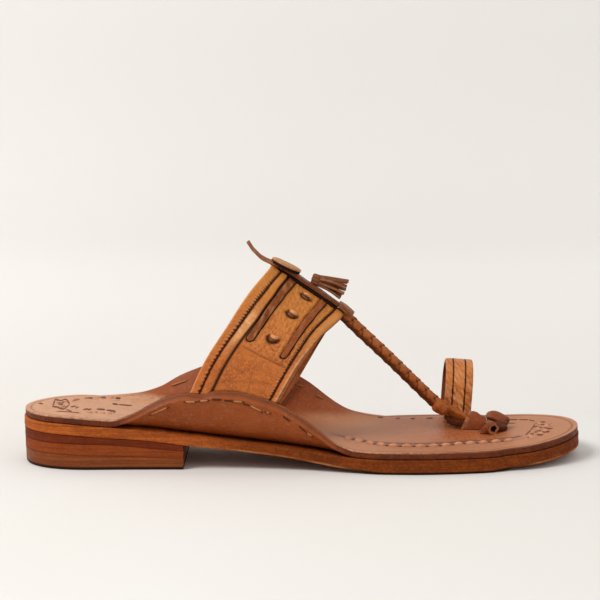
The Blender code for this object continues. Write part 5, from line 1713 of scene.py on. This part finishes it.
class SANDAL_OT_sole_layers(PieceOperator, bpy.types.Operator):
    """Outsole and the three lifts of the heel"""
    bl_idname = "sandal.sole_layers"
    bl_label = "Sole layers"

    def execute(self, context):
        dark = table_height(HEEL, "dark_bottom", GAP)
        middle = table_height(HEEL, "middle_bottom", GAP)
        add_piece("outsole_cut_leather", [outsole_body()], "outsole", "outsole", sharp=70)
        add_piece("heel_lift_first", [lift_body(dark, table_height(SOLE, "bottom", -0.05), 0.3, 0.25)],
                  "dark_lift", "heel_lift_dark")
        add_piece("heel_lift_second", [lift_body(middle, lambda x: dark(x) - 0.05, 0.45, 0.35)],
                  "middle_lift", "heel_lift_middle")
        # The top piece's deep lower rounding carries the painted contact shadow on the floor
        add_piece("heel_top_piece_edge", [lift_body(lambda x: 0.0 * x, lambda x: middle(x) - 0.05,
                                                    0.75, 0.5, rough=0.03, worn=1.5)],
                  "top_piece", "heel_top_piece")
        return {"FINISHED"}


class SANDAL_OT_insole(PieceOperator, bpy.types.Operator):
    """Insole with its two standing ears, its rim and its tooled lines"""
    bl_idname = "sandal.insole"
    bl_label = "Insole and ears"

    def execute(self, context):
        add_piece("insole_and_ears", [insole_body()], "insole", "insole", sharp=60)
        return {"FINISHED"}


class SANDAL_OT_tooling(PieceOperator, bpy.types.Operator):
    """Scalloped seam and tooled strokes on the insole"""
    bl_idname = "sandal.tooling"
    bl_label = "Insole tooling"

    def execute(self, context):
        add_piece("insole_seam_scallops", seam_stitches(), "insole", "insole")
        add_piece("insole_tooled_strokes", stroke_bits(), "insole", "insole")
        return {"FINISHED"}


class SANDAL_OT_ear_thongs(PieceOperator, bpy.types.Operator):
    """Cream thong stitches through both ears"""
    bl_idname = "sandal.ear_thongs"
    bl_label = "Ear thongs"

    def execute(self, context):
        for side in SIDES:
            add_piece("ear_thong_" + side, ear_thongs(side), "thong", "insole")
        return {"FINISHED"}


class SANDAL_OT_band(PieceOperator, bpy.types.Operator):
    """The wide instep band with its strips, grooves, panel and creases"""
    bl_idname = "sandal.band"
    bl_label = "Instep band"

    def execute(self, context):
        add_piece("instep_band", [band_body()], "band", "upper", sharp=70)
        add_piece("band_thread", band_thread(), "thread", "upper")
        return {"FINISHED"}


class SANDAL_OT_inlays(PieceOperator, bpy.types.Operator):
    """Four inlay strips, two on each side of the crown"""
    bl_idname = "sandal.inlays"
    bl_label = "Inlays"

    def execute(self, context):
        for place in INLAYS:
            for side, sign in SIDES.items():
                add_piece("inlay_strip_" + place + "_" + side, [inlay_body(place, sign)],
                          "inlay" if place == "rear" else "fold",
                          "inlay_" + place + "_" + side)
        return {"FINISHED"}


class SANDAL_OT_nubs(PieceOperator, bpy.types.Operator):
    """Three thong nubs on each side of the crown"""
    bl_idname = "sandal.nubs"
    bl_label = "Nubs"

    def execute(self, context):
        for side, sign in SIDES.items():
            for number, (across, angle) in enumerate(zip(*NUBS.values()), 1):
                add_piece("thong_nub_" + side + "_" + str(number),
                          nub_body(across, angle, sign), "band",
                          "nub_" + side + "_" + str(number), slot="trim_leather")
        return {"FINISHED"}


class SANDAL_OT_crown(PieceOperator, bpy.types.Operator):
    """Crown strap with its tail, disc button and collar"""
    bl_idname = "sandal.crown"
    bl_label = "Crown strap and disc"

    def execute(self, context):
        add_piece("crown_strap", crown_strap_body(), "trim", "upper")
        top, plait = disc_bodies()
        add_piece("disc_top", top, "disc", "disc_button")
        add_piece("disc_plaited_rim", plait, "thread", "disc_button")
        add_piece("strap_collar_wrap", [collar_body()], "trim", "strap_collar")
        return {"FINISHED"}


class SANDAL_OT_tassel(PieceOperator, bpy.types.Operator):
    """Wrapped tassel with its flat strips"""
    bl_idname = "sandal.tassel"
    bl_label = "Tassel"

    def execute(self, context):
        add_piece("tassel_strips", tassel_bodies(), "trim", "tassel")
        return {"FINISHED"}


class SANDAL_OT_braid(PieceOperator, bpy.types.Operator):
    """Round plait from the crown to the toe, with its plain end and under strand"""
    bl_idname = "sandal.braid"
    bl_label = "Braid"

    def execute(self, context):
        add_piece("foot_braid", braid_bodies(), "braid", "upper")
        add_piece("braid_plain_end", [strand_body(PLAIN_END, 60, 71, rise=0.4),
                                      lobe_body(BRAID_KNOT, 88, wrinkle=0.3)], "braid", "upper")
        # The under strand is darkened by painted shade below the plain end
        add_piece("braid_under_strand", [strand_body(UNDER_STRAND, 40, 72, dark=0.7)], "trim",
                  "upper")
        return {"FINISHED"}


class SANDAL_OT_toe_ring(PieceOperator, bpy.types.Operator):
    """Toe ring with its stitched grooves"""
    bl_idname = "sandal.toe_ring"
    bl_label = "Toe ring"

    def execute(self, context):
        add_piece("toe_ring", [toe_ring_body()], "band", "upper")
        add_piece("toe_ring_thread", toe_ring_thread(), "thread", "upper")
        return {"FINISHED"}


class SANDAL_OT_toe_knot(PieceOperator, bpy.types.Operator):
    """Folded keeper over the plain end and the rolled knot before it"""
    bl_idname = "sandal.toe_knot"
    bl_label = "Keeper and knot"

    def execute(self, context):
        add_piece("keeper_fold", [keeper_body()], "keeper", "toe_keeper")
        lobes = [lobe_body(KNOT_UPPER, 81, light=0.6), lobe_body(KNOT_UNDER, 83, shade=0.5),
                 lobe_body(KNOT_LOWER, 85, hollow=1.6, light=0.3)]
        add_piece("knot_lobes", lobes, "keeper", "toe_knot")
        return {"FINISHED"}


class SANDAL_OT_stage(PieceOperator, bpy.types.Operator):
    """Pale floor that curves up into a wall, soft light and the camera"""
    bl_idname = "sandal.stage"
    bl_label = "Stage, light and camera"

    def execute(self, context):
        add_backdrop()
        add_lights()
        add_camera()
        return {"FINISHED"}


def add_backdrop():
    """A sheet drawn out sideways: a floor, a quarter circle and a wall that is clear from
    behind, with a floor beyond it."""
    near, far = WALL["distance"] - WALL["curve"], WALL["distance"]
    turn = np.linspace(0, math.pi / 2, 25)
    y = np.concatenate([[WALL["front"]], near + WALL["curve"] * np.sin(turn),
                        [far, near, WALL["half"]]])
    z = np.concatenate([[0.0], WALL["curve"] * (1 - np.cos(turn)), [WALL["height"], -0.3, -0.3]])
    x = np.tile([-WALL["half"], WALL["half"]], len(y))
    faces = grid_faces(len(y), 2)
    faces = np.delete(faces, len(faces) - 2, axis=0)
    mesh = bpy.data.meshes.new("backdrop")
    points = np.column_stack([x, np.repeat(y, 2), np.repeat(z, 2)]) * MM
    mesh.from_pydata(points.tolist(), [], faces.tolist())
    mesh.shade_smooth()
    backdrop = bpy.data.objects.new("backdrop", mesh)
    bpy.context.scene.collection.objects.link(backdrop)
    material = bpy.data.materials.new("backdrop_paper")
    material.use_nodes = True
    shade = Shade(material.node_tree)
    place = shade.node("ShaderNodeTexCoord").outputs["Object"]
    height = shade.node("ShaderNodeSeparateXYZ", None, Vector=place).outputs["Z"]
    pale = tuple(colours().backdrop)
    warm = tuple(c * share for c, share in zip(pale, (0.985, 0.97, 0.95)))
    paper = shade.mix(shade.spread(shade.noise(place, 3.0, 3.0, 0.5), 0.35, 0.65), pale, warm)
    # Painted light: the curve is painted brighter than the floor, the wall above a little less
    for low, high, light in ((0.005, 0.08, 1.12), (0.11, 0.22, 1.05)):
        paper = shade.mix(shade.spread(height, low, high), paper, tuple(c * light for c in pale))
    back = shade.node("ShaderNodeNewGeometry").outputs["Backfacing"]
    shader = material.node_tree.nodes["Principled BSDF"].inputs
    shade.send(shader, Base_Color=paper, Alpha=shade.calc("SUBTRACT", 1.0, back))
    shader["Roughness"].default_value = 0.9
    shader["Specular IOR Level"].default_value = 0.15
    mesh.materials.append(material)


# Lights: place and target in metres, breadth, power and colour
LIGHTS = {
    "key": {"at": (-0.9, -0.7, 1.3), "to": (0.0, 0.0, 0.02), "size": 0.8, "power": 17.5,
            "tint": (1.0, 0.985, 0.96)},
    "fill": {"at": (1.1, -1.3, 0.9), "to": (0.0, 0.0, 0.03), "size": 1.4, "power": 4.6,
             "tint": (1.0, 0.99, 0.98)},
}
WORLD = {"tint": (1.0, 0.99, 0.98), "strength": 0.52}


def add_lights():
    """Soft key from the upper left, weak fill from the right and a pale sky."""
    for name, spec in LIGHTS.items():
        light = bpy.data.lights.new(name, "AREA")
        light.shape = "DISK"
        light.size = spec["size"]
        light.energy = spec["power"]
        light.color = spec["tint"]
        lamp = bpy.data.objects.new(name, light)
        lamp.location = spec["at"]
        way = np.array(spec["to"]) - np.array(spec["at"])
        flat = math.hypot(way[0], way[1])
        lamp.rotation_euler = (math.atan2(flat, -way[2]), 0.0, math.atan2(-way[0], way[1]))
        bpy.context.scene.collection.objects.link(lamp)
    world = bpy.data.worlds.new("soft_room")
    world.use_nodes = True
    sky = world.node_tree.nodes["Background"]
    sky.inputs["Color"].default_value = (*WORLD["tint"], 1.0)
    sky.inputs["Strength"].default_value = WORLD["strength"]
    bpy.context.scene.world = world
    bpy.context.scene.view_settings.view_transform = "Standard"


def add_camera():
    """Camera at the photograph's viewing angle."""
    data = bpy.data.cameras.new("camera")
    data.lens = CAMERA["lens"]
    data.sensor_width = CAMERA["sensor"]
    data.clip_start = 0.01
    camera = bpy.data.objects.new("camera", data)
    camera.location = [CAMERA[axis] * MM for axis in "xyz"]
    camera.rotation_euler = (math.radians(90.0 - CAMERA["pitch"]), 0.0, 0.0)
    bpy.context.scene.collection.objects.link(camera)
    bpy.context.scene.camera = camera


OPERATORS = (SANDAL_OT_sole_layers, SANDAL_OT_insole, SANDAL_OT_tooling, SANDAL_OT_ear_thongs,
             SANDAL_OT_band, SANDAL_OT_inlays, SANDAL_OT_nubs, SANDAL_OT_crown,
             SANDAL_OT_tassel, SANDAL_OT_braid, SANDAL_OT_toe_ring, SANDAL_OT_toe_knot,
             SANDAL_OT_stage)


class SANDAL_PT_panel(bpy.types.Panel):
    """Lists the sandal's operators and settings"""
    bl_idname = "SANDAL_PT_panel"
    bl_label = "Sandal"
    bl_space_type = "VIEW_3D"
    bl_region_type = "UI"
    bl_category = "Sandal"

    def draw(self, context):
        layout = self.layout
        for operator in OPERATORS:
            layout.operator(operator.bl_idname)
        for group in (context.scene.sandal_sizes, context.scene.sandal_colours):
            for name in group.__annotations__:
                layout.prop(group, name)


CLASSES = (SandalColours, SandalSizes, *OPERATORS, SANDAL_PT_panel)


def register():
    """Adds the classes and the scene's settings."""
    for item in CLASSES:
        bpy.utils.register_class(item)
    bpy.types.Scene.sandal_colours = bpy.props.PointerProperty(type=SandalColours)
    bpy.types.Scene.sandal_sizes = bpy.props.PointerProperty(type=SandalSizes)


def unregister():
    """Takes the settings and the classes away again."""
    del bpy.types.Scene.sandal_sizes
    del bpy.types.Scene.sandal_colours
    for item in reversed(CLASSES):
        bpy.utils.unregister_class(item)


def main():
    """Builds every piece."""
    register()
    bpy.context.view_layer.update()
    for operator in OPERATORS:
        group, name = operator.bl_idname.split(".")
        getattr(getattr(bpy.ops, group), name)()


if __name__ == "__main__":
    main()
